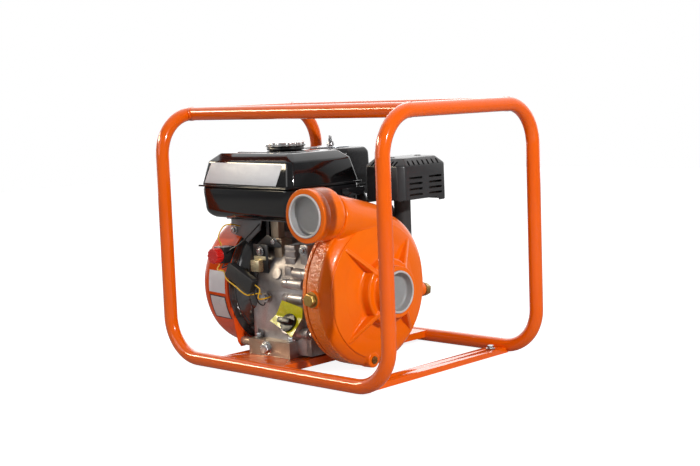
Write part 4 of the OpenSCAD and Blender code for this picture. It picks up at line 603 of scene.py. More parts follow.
# CRANKCASE AND CYLINDER
# A die-cast aluminium block with feet, bosses and cooling fins, closed on the pump side by a cast cover.
# The skin is dull grey, darker where oil and dust gather, and browner on the foot pads.
cast_skin, given, result, place = effect_group(
    "cast_skin",
    {"Colour": (0.3, 0.3, 0.3), "Grime": (0.1, 0.1, 0.1), "Gloss": 0.45, "Grime share": 0.5},
    ("Colour", "Roughness", "Skin"),
)
cloud = ranged(cast_skin, noise(cast_skin, place, 24, 5, 0.6), 0.38, 0.68, 0.0, 1.0)
speck = ranged(cast_skin, noise(cast_skin, place, 420, 3, 0.6), 0.5, 0.72, 0.0, 0.6)
grimy = worked(cast_skin, "MULTIPLY", worked(cast_skin, "MAXIMUM", cloud, speck), given["Grime share"])
fed(cast_skin, result, {
    "Colour": mixed(cast_skin, grimy, given["Colour"], given["Grime"]),
    "Roughness": worked(cast_skin, "ADD", given["Gloss"], worked(cast_skin, "MULTIPLY", grimy, 0.3)),
    "Skin": noise(cast_skin, place, 700, 4, 0.7)})
case_alloy = finish("case_alloy", cast_skin, 0.3, 0.0005, Colour=(0.50, 0.465, 0.46), Grime=(0.17, 0.145, 0.14),
                    Gloss=0.3, Grime_share=0.8, Metallic=0.55)
pale_alloy = finish("pale_alloy", cast_skin, 0.25, 0.0005, Colour=(0.44, 0.35, 0.26), Grime=(0.24, 0.175, 0.12),
                    Gloss=0.32, Grime_share=0.6, Metallic=0.5)
block = eased("cast_block", "engine_block", 0.7)
ready(block, case_alloy, "cast_aluminium", "engine_block", smooth=30)
block.data.materials.append(pale_alloy)
foot_low, foot_high, foot_out = 0.0199, 0.0458, 0.0645
for face in block.data.polygons:
    if foot_low < face.center.z < foot_high and abs(face.center.y - crank_y * MM) > foot_out:
        face.material_index = 1
for name, node, width in (("cast_cover", "crankcase_cover", 0.7), ("finned_head", "cylinder_head", 0.6)):
    ready(eased(name, node, width), case_alloy, "cast_aluminium", node, smooth=30)


def slab(name, low, high, width=0.8):
    """Models a block between two corners, with eased edges."""
    low, size = Vector(low), Vector(high) - Vector(low)
    along, across = Vector((size.x, 0, 0)), Vector((0, size.y, 0))
    piece = flat_solid(name, [low, low + along, low + along + across, low + across], (0, 0, size.z))
    return softened(piece, width, 2)


# Cast bosses, ribs and pads on the front flank of the block, where the cover's long bolts pass.
bosses = [turned("boss", [(-40, 0), (-40, 7.5, 2), (-28, 8.6, 0.8), (-27, 7.4), (-25.6, 7.4), (-25, 8.6, 0.8),
                          (6, 8.8, 1), (6, 0)], (0, y, z), RIGHT, steps=32)
          for y, z in ((-110.5, 137), (-110, 113.5))]
post = slab("post", (-46, -101, 150), (-23, -60, 197), 2.4)
cut(post, *[slab("groove", (-50, -106, z), (-20, -98.5, z + 3.2), 0.3) for z in (163, 176, 187)])
pad = slab("pad", (-40, -108.5, 146), (-25, -84, 163), 1.6)
web = slab("web", (-13, -100, 146), (5, -60, 199), 3.5)
sump_rib = slab("sump_rib", (-98, -111.5, 66), (-24, -98, 69.5), 1)
low_rib = slab("low_rib", (-98, -107.5, 52), (-30, -90, 55), 1)
flank = joined("flank_bosses", *bosses, post, pad, web, sump_rib, low_rib)
ready(flank, case_alloy, "cast_aluminium", smooth=30)
stamped = turned("blank_stamp", [(0, 0), (0, 9.5, 0.4), (0.7, 9.2, 0.3), (0.7, 0)], (-57, -109, 151),
                 (0, -0.93, 0.36), steps=40)
ready(stamped, case_alloy, "cast_aluminium")

# ROCKER COVER AND SPARK PLUG
# A pressed steel cover over the rockers, painted black and bolted to the head.
# The spark plug, with its white glazed neck, is screwed in beside it.
dark_sheet = finish("dark_sheet", enamel, 0.1, 0.0003, Colour=(0.022, 0.022, 0.024),
                    Deep_colour=(0.032, 0.031, 0.030), Gloss=0.3, Dust=0.15)
ready(eased("rocker_lid", "rocker_cover", 1.5), dark_sheet, "black_sheet", "rocker_cover")
glazed = finish("glazed_white", moulded, 0.03, 0.0002, Colour=(0.72, 0.70, 0.66), Worn_colour=(0.58, 0.54, 0.48),
                Gloss=0.12, Grain_size=300.0)
ready(eased("plug_body", "spark_plug", 0.4), glazed, "ceramic", "spark_plug")

# TANK BRACKET
# Folded grey sheet under the tank, with two turned pillars on the crankcase and a stay beside them.
# Its front flange is bolted to the fan shroud's edge.
bracket_grey = finish("bracket_grey", enamel, 0.12, 0.0003, Colour=(0.135, 0.135, 0.14),
                      Deep_colour=(0.10, 0.10, 0.105), Gloss=0.3, Dust=0.15)
plate = slab("sheet_bracket", (-171, -110, 234.8), (-29, -28.2, 237.6), 0.6)
pillars = [turned("pillar", [(212.2, 3.2), (212.2, 9, 0.6), (235, 9, 0.4), (235, 3.2), (212.2, 3.2)], (x, -54, 0),
                  UP, steps=40) for x in (-88, -22)]
flange = flat_solid("flange", [(x, -110, z) for x, z in ((-160, 237.6), (-86, 237.6), (-92, 219), (-121, 197.5),
                                                         (-135.5, 205.8), (-160, 211.5))], (0, 2.6, 0))
softened(flange, 0.8, 2)
gusset = flat_solid("gusset", [(x, -101, z) for x, z in ((-84, 212), (-52, 196), (-54, 192), (-112, 190),
                                                         (-113, 193))], (0, 1.6, 0))
softened(gusset, 0.4, 2)
tie = slab("tie", (-86, -101, 211), (-80, -99.4, 236), 0.4)
ready(joined("sheet_bracket", plate, flange, *pillars), bracket_grey, "bracket_steel", "tank_bracket")
ready(joined("bracket_gusset", gusset, tie), dark_sheet, "black_sheet")
stay = slab("tank_stay", (-80, -97, 205.5), (-62, -82, 236.6), 2)
foot_pad = slab("pad", (-82, -98, 203), (-56, -80, 206), 0.8)
root = slab("root", (-76, -95, 168), (-58, -70, 203.5), 2)
ready(joined("tank_stay", stay, foot_pad, root), pale_alloy, "cast_aluminium", smooth=30)

# REGULATOR BOX
# A small folded can, plated in yellow zinc.
# It is screwed through its tab to a dark strip that stands off the block behind the cut-out.
gold_zinc = finish("yellow_zinc", plated, 0.1, 0.0002, Colour=(0.92, 0.80, 0.50), Tarnish=(0.66, 0.55, 0.33),
                   Gloss=0.26, Stain=0.4, Metallic=0.4)
can = slab("regulator_can", (-108, -119, 152), (-88, -103, 171), 1.6)
tab = slab("tab", (-107, -111, 171), (-80, -109.4, 177), 0.4)
ready(joined("regulator_can", can, tab), gold_zinc, "bright_steel")
back_tab = slab("regulator_tab", (-110, -109.3, 150), (-76, -107.8, 196), 0.5)
legs = [slab("leg", (x, -108, z), (x + 10, -76, z + 3), 0.4) for x, z in ((-106, 190), (-90, 152))]
ready(joined("regulator_tab", back_tab, *legs), dark_sheet, "black_sheet")

# FAN SHROUD
# A deep-drawn steel cup over the flywheel fan, sprayed red-orange, with a rolled lip towards the engine.
# The duct meets the lip, and the recoil starter closes the open end.
shroud_enamel = finish("shroud_enamel", enamel, 0.06, 0.0004, Colour=(0.78, 0.086, 0.008),
                       Deep_colour=(0.64, 0.058, 0.005), Gloss=0.16, Dust=0.05,
                       Specular_IOR_Level=0.15, Coat_Weight=0.12, Coat_Roughness=0.06)
shroud = on_shaft("fan_cup", [(-210, 70), (-210, 96, 9), (-195, 110, 10), (-139, 110, 1), (-138, 112, 0.8),
                              (-136.2, 112, 0.5), (-136.2, 98), (-138.2, 98), (-138.2, 108), (-194, 108, 9),
                              (-208, 95, 8), (-208, 70), (-210, 70)])
ready(shroud, shroud_enamel, "shroud_paint", "fan_shroud")

# FAN DUCT
# A dark sheet collar that leads the air from the fan to the cylinder, screwed to the crankcase.
# Its outer ring meets the shroud, and a short lip laps the block at the front.
duct_black = finish("duct_black", enamel, 0.05, 0.0004, Colour=(0.030, 0.030, 0.032),
                    Deep_colour=(0.042, 0.041, 0.042), Gloss=0.08, Dust=0.06,
                    Specular_IOR_Level=0.8, Coat_Weight=0.6, Coat_Roughness=0.05)
duct = on_shaft("fan_collar", [(-136, 98), (-136, 99.6, 0.5), (-128, 100, 2), (-121, 97, 8), (-112.2, 86, 3),
                               (-112.1, 42), (-115, 42), (-115, 84, 3), (-122.5, 95, 7), (-129, 98), (-136, 98)])
ready(duct, duct_black, "black_sheet", "fan_duct")
duct_ring = on_shaft("duct_ring", [(-136.1, 99), (-136.1, 109, 0.3), (-134.8, 108.4, 0.5), (-132, 101, 2),
                                   (-131, 99.4), (-136.1, 99)])
ready(duct_ring, duct_black, "black_sheet")
duct_lip = on_shaft("duct_lip", [(-112.6, 79), (-112.6, 86.5, 1), (-105, 84.5, 3), (-100.5, 80.5, 0.6),
                                 (-100.5, 79), (-112.6, 79)])
opened(duct_lip)
for at, outward in (((0, -0.088, 0.126), BACK), ((0, 0, 0.0465), DOWN)):
    bpy.ops.mesh.select_all(action="SELECT")
    bpy.ops.mesh.bisect(plane_co=at, plane_no=outward, use_fill=True, clear_outer=True)
bpy.ops.object.mode_set(mode="OBJECT")
ready(duct_lip, duct_black, "black_sheet")

# SHROUD TAB AND STUD
# A flat steel tab at the shroud's lower edge, sprayed with it.
# A turned alloy stud holds the tab off the block, with its round head outside.
tab = flat_solid("shroud_tab", [(-138, y, z) for y, z in (
    (-136, 88), (-133, 62), (-127, 34), (-121, 25.5), (-111, 25.5), (-107, 33), (-109, 44), (-118.5, 52),
    (-124, 64), (-131.5, 84))], (1.8, 0, 0))
softened(tab, 0.5, 2)
ready(tab, shroud_enamel, "shroud_paint")
spacer = turned("tab_stud", [(-143, 0), (-143, 4.2, 0.8), (-138.1, 4.2), (-138.1, 3), (-136, 3), (-136, 7, 0.6),
                             (-106.2, 7, 0.6), (-106.2, 0)], (0, -116, 35), RIGHT, steps=32)
ready(spacer, pale_alloy, "cast_aluminium")

# RECOIL STARTER
# A pressed steel dish with punched air slots, painted black and bolted over the shroud's open end.
# Inside it a moulded reel takes up the starter rope.
dish = on_shaft("starter_dish", [(-223.9, 4.1), (-223.9, 74, 4), (-221, 77.5, 3), (-211.5, 82, 1),
                                 (-210.1, 82, 0.6), (-210.1, 70.2), (-212, 70.2), (-221.9, 70, 2), (-221.9, 4.1),
                                 (-223.9, 4.1)], 96)


def slot_cutter(size, at, axis=None, degrees=0.0):
    """Models a rounded slot punch at a place."""
    punch = started("punch", bpy.ops.mesh.primitive_cube_add, size=1, location=Vector(at) * MM,
                    scale=Vector(size) * MM)
    softened(punch, min(size) * 0.4, 2)
    return turned_to(punch, axis, degrees, at) if axis else punch


slots = [turned_to(slot_cutter((14, 12, 6.4), (-223, crank_y + 59.5, crank_z)), "X", 30 * i + 15, pump_axis)
         for i in range(12)]
mouth = turned("mouth", [(20, 0), (20, 4.2), (100, 4.2), (100, 0)], (-216.3, crank_y, 166.4), BACK, steps=24)
rings = [on_shaft("ring", [(-223.8, r - 1.6), (-224.6, r - 0.8, 0.6), (-224.6, r + 0.8, 0.6), (-223.8, r + 1.6),
                           (-223.2, r), (-223.8, r - 1.6)], 72) for r in (20, 46)]
cut(dish, joined("slots", *slots), mouth)
ready(joined("starter_dish", dish, *rings), dark_sheet, "black_sheet", "recoil_housing")
hub_grey = finish("reel_grey", moulded, 0.12, 0.0003, Colour=(0.07, 0.07, 0.072), Worn_colour=(0.10, 0.10, 0.10),
                  Gloss=0.4, Grain_size=800.0)
ready(eased("rope_reel", "recoil_reel", 0.3), hub_grey, "black_plastic", "recoil_reel", body="reel")


# STARTER ROPE AND GRIP
# Braided pale cord that runs from the reel out through the dish's mouth at the back.
# A ribbed grip, moulded in black plastic, is held on its end by a knot inside.
def braided(name, colour, dark, scale):
    """Makes a cord material: crossed strands along the piece, with painted shade in the gaps between them."""
    group, _, result, place = effect_group(name, {}, ("Colour", "Roughness", "Weave"))
    turns = [added(group, "Mapping", {"Vector": place, "Rotation": (0, 0, lean)}) for lean in (0.7, -0.7)]
    strands = [added(group, "TexWave", {"Vector": turn, "Scale": scale, "Distortion": 0.6}, "Fac") for turn in turns]
    weave = worked(group, "MULTIPLY", *strands)
    fed(group, result, {
        "Colour": mixed(group, weave, dark, colour), "Weave": weave,
        "Roughness": ranged(group, noise(group, place, 300, 3), 0.3, 0.7, 0.65, 0.85)})
    return finish(name, group, 0.4, 0.0005)


rope_x, rope_z, grip_y = -216.3, 167.3, 82
# The darker second colour lies between the strands as painted shade.
rope_braid = braided("rope_braid", (0.62, 0.60, 0.55), (0.25, 0.23, 0.20), 260)
rope = bent_tube("starter_rope", (rope_x, crank_y + 0.5, rope_z), BACK, 2, [10] * 12 + [6.5], around=16)
ready(rope, rope_braid, "rope_cord", "recoil_rope", body=None)
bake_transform(rope)
grip_black = finish("grip_black", moulded, 0.3, 0.0003, Colour=(0.014, 0.014, 0.015),
                    Worn_colour=(0.03, 0.03, 0.03), Gloss=0.42, Grain_size=1100.0)
grip_at = (rope_x, grip_y + 11, rope_z)
profile = [(-33, 0), (-33, 8, 2.5), (-29, 11, 2)]
for z in range(-21, 22, 7):
    profile += [(z - 2, 11, 0.6), (z - 0.8, 10, 0.6), (z + 0.8, 10, 0.6), (z + 2, 11, 0.6)]
profile += [(29, 11, 2), (33, 8, 2.5), (33, 0)]
bar = turned("starter_grip", profile, grip_at, UP, steps=48)
neck = turned("neck", [(-14, 2.3), (-14, 6, 1.5), (-8, 8, 2), (0, 8), (0, 2.3), (-14, 2.3)], grip_at, BACK, steps=40)
ready(joined("starter_grip", bar, neck), grip_black, "black_plastic", "recoil_grip", body="grip")


# FUEL TANK
# Two pressed steel shells, lapped at a seam flange and stoved in gloss black. The upper shell has flat
# panels with broken corners, and the lower one is a plain dish. A plain silver plate is stuck on the front.
def stacked(name, centre, *levels):
    """Raises an eight-cornered form: levels of (height, half length, half width), the first with its corner."""
    (x0, y0), (z, l, w, c) = centre, levels[0]
    ring = [(l, c - w), (l, w - c), (l - c, w), (c - l, w), (-l, w - c), (-l, c - w), (c - l, -w), (l - c, -w)]
    piece = flat_solid(name, [(x0 + x, y0 + y, z) for x, y in ring], (0, 0, levels[1][0] - z))
    opened(piece)
    top_face(piece)
    for i, (below, (z, l, w)) in enumerate(zip(levels, levels[1:])):
        if i:
            bpy.ops.mesh.extrude_region_move(TRANSFORM_OT_translate={"value": (0, 0, (z - below[0]) * MM)})
        bpy.ops.transform.resize(value=(l / below[1], w / below[2], 1), center_override=(x0 * MM, y0 * MM, z * MM))
    return closed(piece)


tank_middle, seam_z, panel_low, panel_high = (-95, -57.5), 292, 80.5, 71.5
tank_y = tank_middle[1]
neck_at = (-78, tank_y, 0)
tank_black = finish("tank_black", enamel, 0.02, 0.0003, Colour=(0.006, 0.006, 0.007),
                    Deep_colour=(0.009, 0.009, 0.010), Gloss=0.07, Dust=0.04)
upper = stacked("tank_top_shell", tank_middle, (seam_z + 0.1, 108, panel_low, 8), (331, 99, panel_high),
                (344, 83.6, 56.1))
softened(upper, 2.6, 3, 12)
crown = stacked("crown", tank_middle, (343, 70, 42, 14), (345.4, 67, 39))
softened(crown, 1.5, 3, 20)
lip = stacked("lip", tank_middle, (seam_z + 0.05, 114.6, 87, 12), (seam_z + 1.5, 114.6, 87))
softened(lip, 0.7, 2, 20)
neck = turned("neck", [(342, 0), (342, 29, 2), (345.6, 27, 1.5), (347, 24, 0.6), (352.8, 24, 0.8), (352.8, 21),
                       (346, 21), (346, 0)], neck_at, UP)
ready(joined("tank_top_shell", upper, crown, lip, neck), tank_black, "tank_paint", "tank_upper")
lower = stacked("tank_dish", tank_middle, (238, 95, 67.5, 11), (247, 106.5, 79), (seam_z - 0.1, 110, 82.5))
softened(lower, 7, 5, 12)
lip = stacked("lip", tank_middle, (seam_z - 1.5, 114.8, 87.2, 12), (seam_z - 0.05, 114.8, 87.2))
softened(lip, 0.7, 2, 20)
lug = flat_solid("lug", [(17, y, z) for y, z in ((-27, 283), (24, 283), (27, 279), (24, 270), (-10, 269),
                                                 (-27, 274))], (-9, 0, 0))
softened(lug, 1, 2)
ready(joined("tank_dish", lower, lip, lug), tank_black, "tank_paint", "tank_lower")
blank_silver = finish("blank_silver", moulded, 0.05, 0.0002, Colour=(0.64, 0.64, 0.67),
                      Worn_colour=(0.70, 0.70, 0.73), Gloss=0.55, Grain_size=1400.0, Metallic=0.1)
slope = (panel_low - panel_high) / 39
plate = flat_solid("blank_tank_plate", [(x, tank_y - panel_low + (z - seam_z) * slope + 0.3, z) for x, z in
                                        ((-190, 296), (-21, 294.2), (-12, 327), (-179, 329.5))], (0, -0.9, 0))
softened(plate, 0.35, 2)
ready(plate, blank_silver, "bright_steel")

# FUEL CAP
# A pressed and chromed cap with a scalloped rim to grip, screwed onto the tank's neck.
# A black rubber collar under it seals the neck and turns with the cap.
chrome = finish("cap_chrome", plated, 0.05, 0.0002, Colour=(0.74, 0.74, 0.74), Tarnish=(0.52, 0.50, 0.47),
                Gloss=0.15, Stain=0.35, Metallic=1.0)
satin_black = finish("satin_black", moulded, 0.15, 0.0003, Colour=(0.012, 0.012, 0.013),
                     Worn_colour=(0.022, 0.022, 0.023), Gloss=0.3, Grain_size=1500.0, Specular_IOR_Level=0.35)


def scalloped(radius, depth, bite, points=144, hollows=12):
    """Gives a round outline with hollows to grip, as offsets from its middle."""
    outline = []
    for i in range(points):
        a = 2 * math.pi * i / points
        r = radius - depth * max(0.0, -math.cos(hollows * a)) ** bite
        outline.append((r * math.cos(a), r * math.sin(a)))
    return outline


cap = flat_solid("scalloped_cap", [(neck_at[0] + x, tank_y + y, 352) for x, y in scalloped(33.2, 2.6, 0.8)],
                 (0, 0, 7.2))
softened(cap, 1.4, 3, 40)
crown = turned("crown", [(358.6, 0), (358.6, 29, 0.6), (360.0, 27.5, 0.8), (359.4, 24, 0.8), (359.4, 21, 0.8),
                         (360.8, 18, 1), (361, 8, 1), (361, 0)], neck_at, UP)
ready(joined("scalloped_cap", cap, crown), chrome, "chrome_cap", "fuel_cap", body="tank_cap")
collar = turned("cap_collar", [(346.4, 24.4), (346.4, 30.5, 1), (349, 31, 1), (352.4, 29.5, 0.6), (352.4, 24.4),
                               (346.4, 24.4)], neck_at, UP)
ready(collar, satin_black, "black_rubber", body="tank_cap")

# AIR CLEANER
# A moulded black tray and lift-off lid with a bright pressed disc on its top.
# A pressed wing nut on the tray's long stud holds the lid down.
zinc = finish("zinc_plate", plated, 0.1, 0.0002, Colour=(0.46, 0.46, 0.47), Tarnish=(0.30, 0.29, 0.28), Gloss=0.24,
              Stain=0.55, Metallic=1.0)
disc_steel = finish("disc_steel", plated, 0.1, 0.0002, Colour=(0.26, 0.28, 0.30), Tarnish=(0.20, 0.20, 0.21),
                    Gloss=0.24, Stain=0.4, Metallic=1.0)
air_middle = air_x, air_y = -114, 85.3
stud_at = (air_x, air_y, 0)
tray = stacked("air_tray", air_middle, (262, 62, 39, 16), (265, 65, 42), (277.6, 65, 42))
softened(tray, 2, 3, 20)
stud = turned("stud", [(270, 0), (270, 3), (357, 3, 0.8), (358, 2), (358, 0)], stud_at, UP, steps=24)
ready(joined("air_tray", tray, stud), satin_black, "black_plastic", "air_cleaner_base")
lid = stacked("air_lid", air_middle, (278.2, 65, 42, 14), (334.9, 63.2, 40.2), (342, 57.9, 34.9))
softened(lid, 3, 4, 12)
rim = stacked("rim", air_middle, (278.2, 66, 43, 16), (282, 66, 43))
softened(rim, 1, 2, 20)
ready(joined("air_lid", lid, rim), satin_black, "black_plastic", "air_cleaner_cover")
disc = turned("lid_disc", [(341.8, 3.2), (341.8, 32.6, 0.6), (343.6, 32.6, 0.6), (344.4, 27, 1.5), (344.4, 9, 1),
                           (344.4, 3.2), (341.8, 3.2)], stud_at, UP)
ready(disc, disc_steel, "bright_steel")
barrel = turned("wing_nut_pressed", [(345, 3.2), (345, 7.2, 0.8), (349, 6.6, 1), (353, 5.2, 1), (353, 3.2),
                                     (345, 3.2)], stud_at, UP, steps=32)
wing_side = ((3.5, 348), (8, 348), (13, 355), (14.5, 361), (11.5, 362.5), (8, 358), (5, 353))
wings = []
for side in (-1, 1):
    wing = flat_solid("wing", [(air_x + side * x, air_y - 1.3, z) for x, z in wing_side], (0, 2.6, 0))
    wings.append(turned_to(softened(wing, 0.9, 2, 40), "Z", -40, stud_at))
ready(joined("wing_nut_pressed", barrel, *wings), zinc, "bright_steel", "wing_nut", body="cover_nut")


# SHROUD FOILS
# Two thin foil plates stuck round the front of the shroud.
# One is plain silver, and the other is plain pale grey in a dark border.
def wrapped(name, x0, x1, low, high, radius, slant):
    """Lays a thin foil on the shroud between two angles, measured upwards from its front."""
    foil = started(name, bpy.ops.mesh.primitive_grid_add, x_subdivisions=6, y_subdivisions=14, size=1)
    for point in foil.data.vertices:
        u, v = point.co.x + 0.5, point.co.y + 0.5
        a = math.radians(low + (high - low) * v - slant * u)
        point.co = Vector((x0 + (x1 - x0) * u, crank_y - radius * math.cos(a), crank_z + radius * math.sin(a))) * MM
    return applied(foil, "SOLIDIFY", thickness=0.35 * MM, offset=0)


pale_foil = finish("pale_foil", moulded, 0.04, 0.0002, Colour=(0.62, 0.60, 0.60), Worn_colour=(0.54, 0.52, 0.52),
                   Gloss=0.3, Grain_size=900.0)
ready(wrapped("blank_silver_foil", -183.5, -144.5, -4.5, 14.2, 110.2, 0.8), blank_silver, "bright_steel")
ready(wrapped("blank_foil_border", -183.5, -146, -28.6, -6.9, 110.15, 1.2), dark_sheet, "black_sheet")
ready(wrapped("blank_pale_foil", -181.5, -148, -27.6, -7.9, 110.35, 1.2), pale_foil, "grey_plastic")

# CARBURETTOR AND LEVERS
# A zinc die-casting with its float bowl below, between the head and the air cleaner's elbow.
# The choke and throttle levers are pressed and plated, and the fuel tap's is moulded in black.
bright_cast = finish("bright_cast", cast_skin, 0.2, 0.0004, Colour=(0.46, 0.45, 0.43), Grime=(0.26, 0.24, 0.21),
                     Gloss=0.36, Grime_share=0.6, Metallic=0.7)
carb_y = 103.3
carb = eased("die_cast_carburettor", "carburettor", 0.9)
bowl_nut = hexagon_head("bowl_nut", 6.5, 5, 8, (-140, carb_y, 147.6), DOWN)
screws = [turned("screw", [(-1, 0), (-1, 3.4), (2.4, 3.4, 0.8), (2.6, 0)], (x, carb_y + y, 204), UP, steps=24)
          for x, y in ((-151, -15), (-151, 15), (-129, -15))]
ready(joined("die_cast_carburettor", carb, bowl_nut, *screws), bright_cast, "cast_aluminium", "carburettor",
      smooth=30)
for name, material, slot, body in (("choke_arm", zinc, "bright_steel", "choke"),
                                   ("throttle_arm", zinc, "bright_steel", "throttle"),
                                   ("fuel_tap_arm", grip_black, "black_plastic", "fuel_tap")):
    ready(eased(name, body + "_lever", 0.5), material, slot, body + "_lever", body=body)


# FUEL HOSE AND PLUG LEAD
# A black rubber hose from the tank's outlet to the carburettor, pushed over a spigot at each end.
# The thick ignition lead is of the same rubber, and its moulded cap is pushed onto the spark plug.
def smooth_route(points, samples):
    """Draws one smooth line through the route's points, evenly stepped."""
    points = [Vector(p) for p in points]
    ends = [points[0] * 2 - points[1], *points, points[-1] * 2 - points[-2]]
    line = []
    for a, b, c, d in zip(ends, ends[1:], ends[2:], ends[3:]):
        for i in range(24):
            t = i / 24
            line.append(0.5 * (2 * b + (c - a) * t + (2 * a - 5 * b + 4 * c - d) * t * t
                               + (3 * b - a - 3 * c + d) * t ** 3))
    line.append(points[-1])
    run = [0.0]
    for a, b in zip(line, line[1:]):
        run.append(run[-1] + (b - a).length)
    even, k = [], 0
    for i in range(samples):
        want = run[-1] * i / (samples - 1)
        while k < len(run) - 2 and run[k + 1] < want:
            k += 1
        part = (want - run[k]) / max(1e-9, run[k + 1] - run[k])
        even.append(line[k].lerp(line[k + 1], min(1.0, part)))
    return even


def laid_cord(name, points, diameter, material, slot, node, stiffness, samples=30, free=True):
    """Lays a round cord along a route in millimetres, between two places on the object."""
    route = [p * MM for p in smooth_route(points, samples)]
    line = bpy.data.curves.new(name, "CURVE")
    line.dimensions = "3D"
    line.bevel_depth = diameter * MM / 2
    line.bevel_resolution = 4
    line.use_fill_caps = True
    spline = line.splines.new("POLY")
    spline.points.add(len(route) - 1)
    for point, place in zip(spline.points, route):
        point.co = (*place, 1)
    spline.use_smooth = True
    cord = bpy.data.objects.new(name, line)
    bpy.context.collection.objects.link(cord)
    line.materials.append(material)
    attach(cord, "frame")
    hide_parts(node)
    return cord


hose_rubber = finish("hose_rubber", moulded, 0.15, 0.0003, Colour=(0.012, 0.012, 0.013),
                     Worn_colour=(0.026, 0.025, 0.024), Gloss=0.45, Grain_size=1300.0)
laid_cord("fuel_line", [(-105, -21, 237.5), (-105, -19, 230), (-107, 5, 220), (-125, 39, 210), (-140, 63.3, 198),
                        (-136, 76.3, 188), (-136, 82.3, 188)], 8, hose_rubber, "black_rubber", "fuel_hose", "stiff")
plug_axis = (0, -0.42262, 0.90631)
boot = turned("plug_boot", [(10, 5.2), (10, 9, 1), (30, 9, 1), (33, 8, 1), (44, 6.5, 2), (44, 0), (30, 0),
                            (30, 5.2), (10, 5.2)], (-32, 81.27, 234.9), plug_axis, steps=40)
ready(boot, hose_rubber, "black_rubber", "plug_lead")
laid_cord("ignition_lead", [(-32, 64.4, 271), (-32, 59.3, 282), (-38, 38, 274), (-60, 36, 250), (-104, 16, 232),
                            (-120, 8, 224), (-124, 6, 214)], 7, hose_rubber, "black_rubber", "plug_lead", "medium")

# AIR FILTER
# A thick ring cut from open yellow-brown foam and wetted with oil.
# It stands loose in the air cleaner, round the stud.
foam = finish("filter_foam", moulded, 0.8, 0.001, Colour=(0.42, 0.36, 0.20), Worn_colour=(0.30, 0.24, 0.12),
              Gloss=0.85, Grain_size=700.0)
ready(eased("foam_ring", "filter_element", 1.5), foam, "filter_foam", "filter_element")

# MUFFLER GUARD
# A folded steel cover over the muffler, punched with slots for the heat and painted satin black.
# Two rivets through its top hold it on.
guard_black = finish("guard_black", enamel, 0.1, 0.0003, Colour=(0.022, 0.022, 0.024),
                     Deep_colour=(0.030, 0.030, 0.030), Gloss=0.32, Dust=0.1)
guard_middle = (50.5, 89.5)
guard = stacked("folded_guard", guard_middle, (254, 42.5, 58.5, 9), (315, 42.5, 58.5), (327, 30.5, 46.5))
softened(guard, 2.5, 3, 20)
hollow = stacked("hollow", guard_middle, (250, 41, 57, 8.5), (314.6, 41, 57), (325.6, 29.7, 45.7))
punches = []
for i in range(4):
    for y in (66.1, 115.2):
        punches.append(slot_cutter((12, 33, 3.6), (93, y, 267.5 + 9 * i)))
for i in range(7):
    punches.append(slot_cutter((3.6, 9, 9), (29.5 + 8 * i, 34.8, 318.8), "Y", 20))
    punches.append(slot_cutter((9, 4, 9), (89.2, 53 + 12 * i, 318.8), "X", -20))
side_gap = slot_cutter((16, 106, 13), (92, 72, 253.5))
front_gap = slot_cutter((96, 16, 13), (40, 31, 253.5))
cut(guard, hollow, joined("punches", *punches), side_gap, front_gap)
rivets = [turned("rivet", [(326.6, 0), (326.6, 6.5, 0.8), (328.2, 5, 0.8), (328.6, 0)], (guard_middle[0], y, 0), UP,
                 steps=24) for y in (57, 122)]
ready(joined("folded_guard", guard, *rivets), guard_black, "black_sheet", "muffler_guard")

# MUFFLER
# A welded steel box with its elbow, bolted to the head's exhaust port.
# It is painted in dull heat-proof grey that has begun to brown.
heat_grey = finish("heat_grey", cast_skin, 0.3, 0.0004, Colour=(0.045, 0.045, 0.046), Grime=(0.075, 0.05, 0.035),
                   Gloss=0.55, Grime_share=0.45, Metallic=0.3)
ready(eased("welded_muffler", "muffler", 1.2), heat_grey, "muffler_paint", "muffler")

# STOP SWITCH
# A black moulded box screwed to the shroud, with a red knob to turn the engine off.
# The knob is moulded with hollows to grip and a shallow dial in its face.
ready(eased("switch_box", "stop_switch_base", 1.6), satin_black, "black_plastic", "stop_switch_base")
knob_red = finish("knob_red", moulded, 0.08, 0.0003, Colour=(0.62, 0.016, 0.012), Worn_colour=(0.52, 0.012, 0.010),
                  Gloss=0.24, Grain_size=900.0, Subsurface_Weight=0.05)
knob_at = knob_x, knob_y, knob_z = -148, -150, 180
knob = flat_solid("fluted_knob", [(knob_x + x, knob_y - 2.2, knob_z + z) for x, z in scalloped(12.5, 1.3, 0.7)],
                  (0, -12.2, 0))
softened(knob, 1.2, 3, 40)
collar = turned("collar", [(-7, 0), (-7, 5, 0.4), (0.4, 5), (0.4, 12.4, 0.5), (2.4, 12.4, 0.5), (2.4, 0)], knob_at,
                FRONT, steps=48)
dial = turned("dial", [(14, 0), (14, 9.5), (14.4, 9.2, 0.3), (14.0, 7.6, 0.8), (13.8, 0)], knob_at, FRONT, steps=48)
ready(joined("fluted_knob", knob, collar, dial), knob_red, "red_plastic", "stop_switch_knob", body="stop_knob")

# LOW-OIL CUT-OUT AND WIRES
# The cut-out sits in a black shrink sleeve on the duct. Thin yellow and black wires join it to the switch,
# the tank bracket and the earth bolt.
sleeve = finish("shrink_sleeve", moulded, 0.35, 0.0005, Colour=(0.010, 0.010, 0.011),
                Worn_colour=(0.019, 0.019, 0.020), Gloss=0.36, Grain_size=220.0)
ready(eased("cut_out_sleeve", "low_oil_unit", 4.5), sleeve, "black_rubber", "low_oil_unit")
yellow_jacket = finish("yellow_jacket", moulded, 0.05, 0.0002, Colour=(0.72, 0.40, 0.010),
                       Worn_colour=(0.56, 0.30, 0.010), Gloss=0.34, Grain_size=1500.0)
black_jacket = finish("black_jacket", moulded, 0.05, 0.0002, Colour=(0.010, 0.010, 0.010),
                      Worn_colour=(0.02, 0.02, 0.02), Gloss=0.34, Grain_size=1500.0)


def beside_unit(along, across, front=0.0):
    """Gives a point beside the cut-out, which leans 25 degrees."""
    c, s = math.cos(math.radians(25)), math.sin(math.radians(25))
    return (-100 + along * c + across * s, -147 - front, 146 - along * s + across * c)


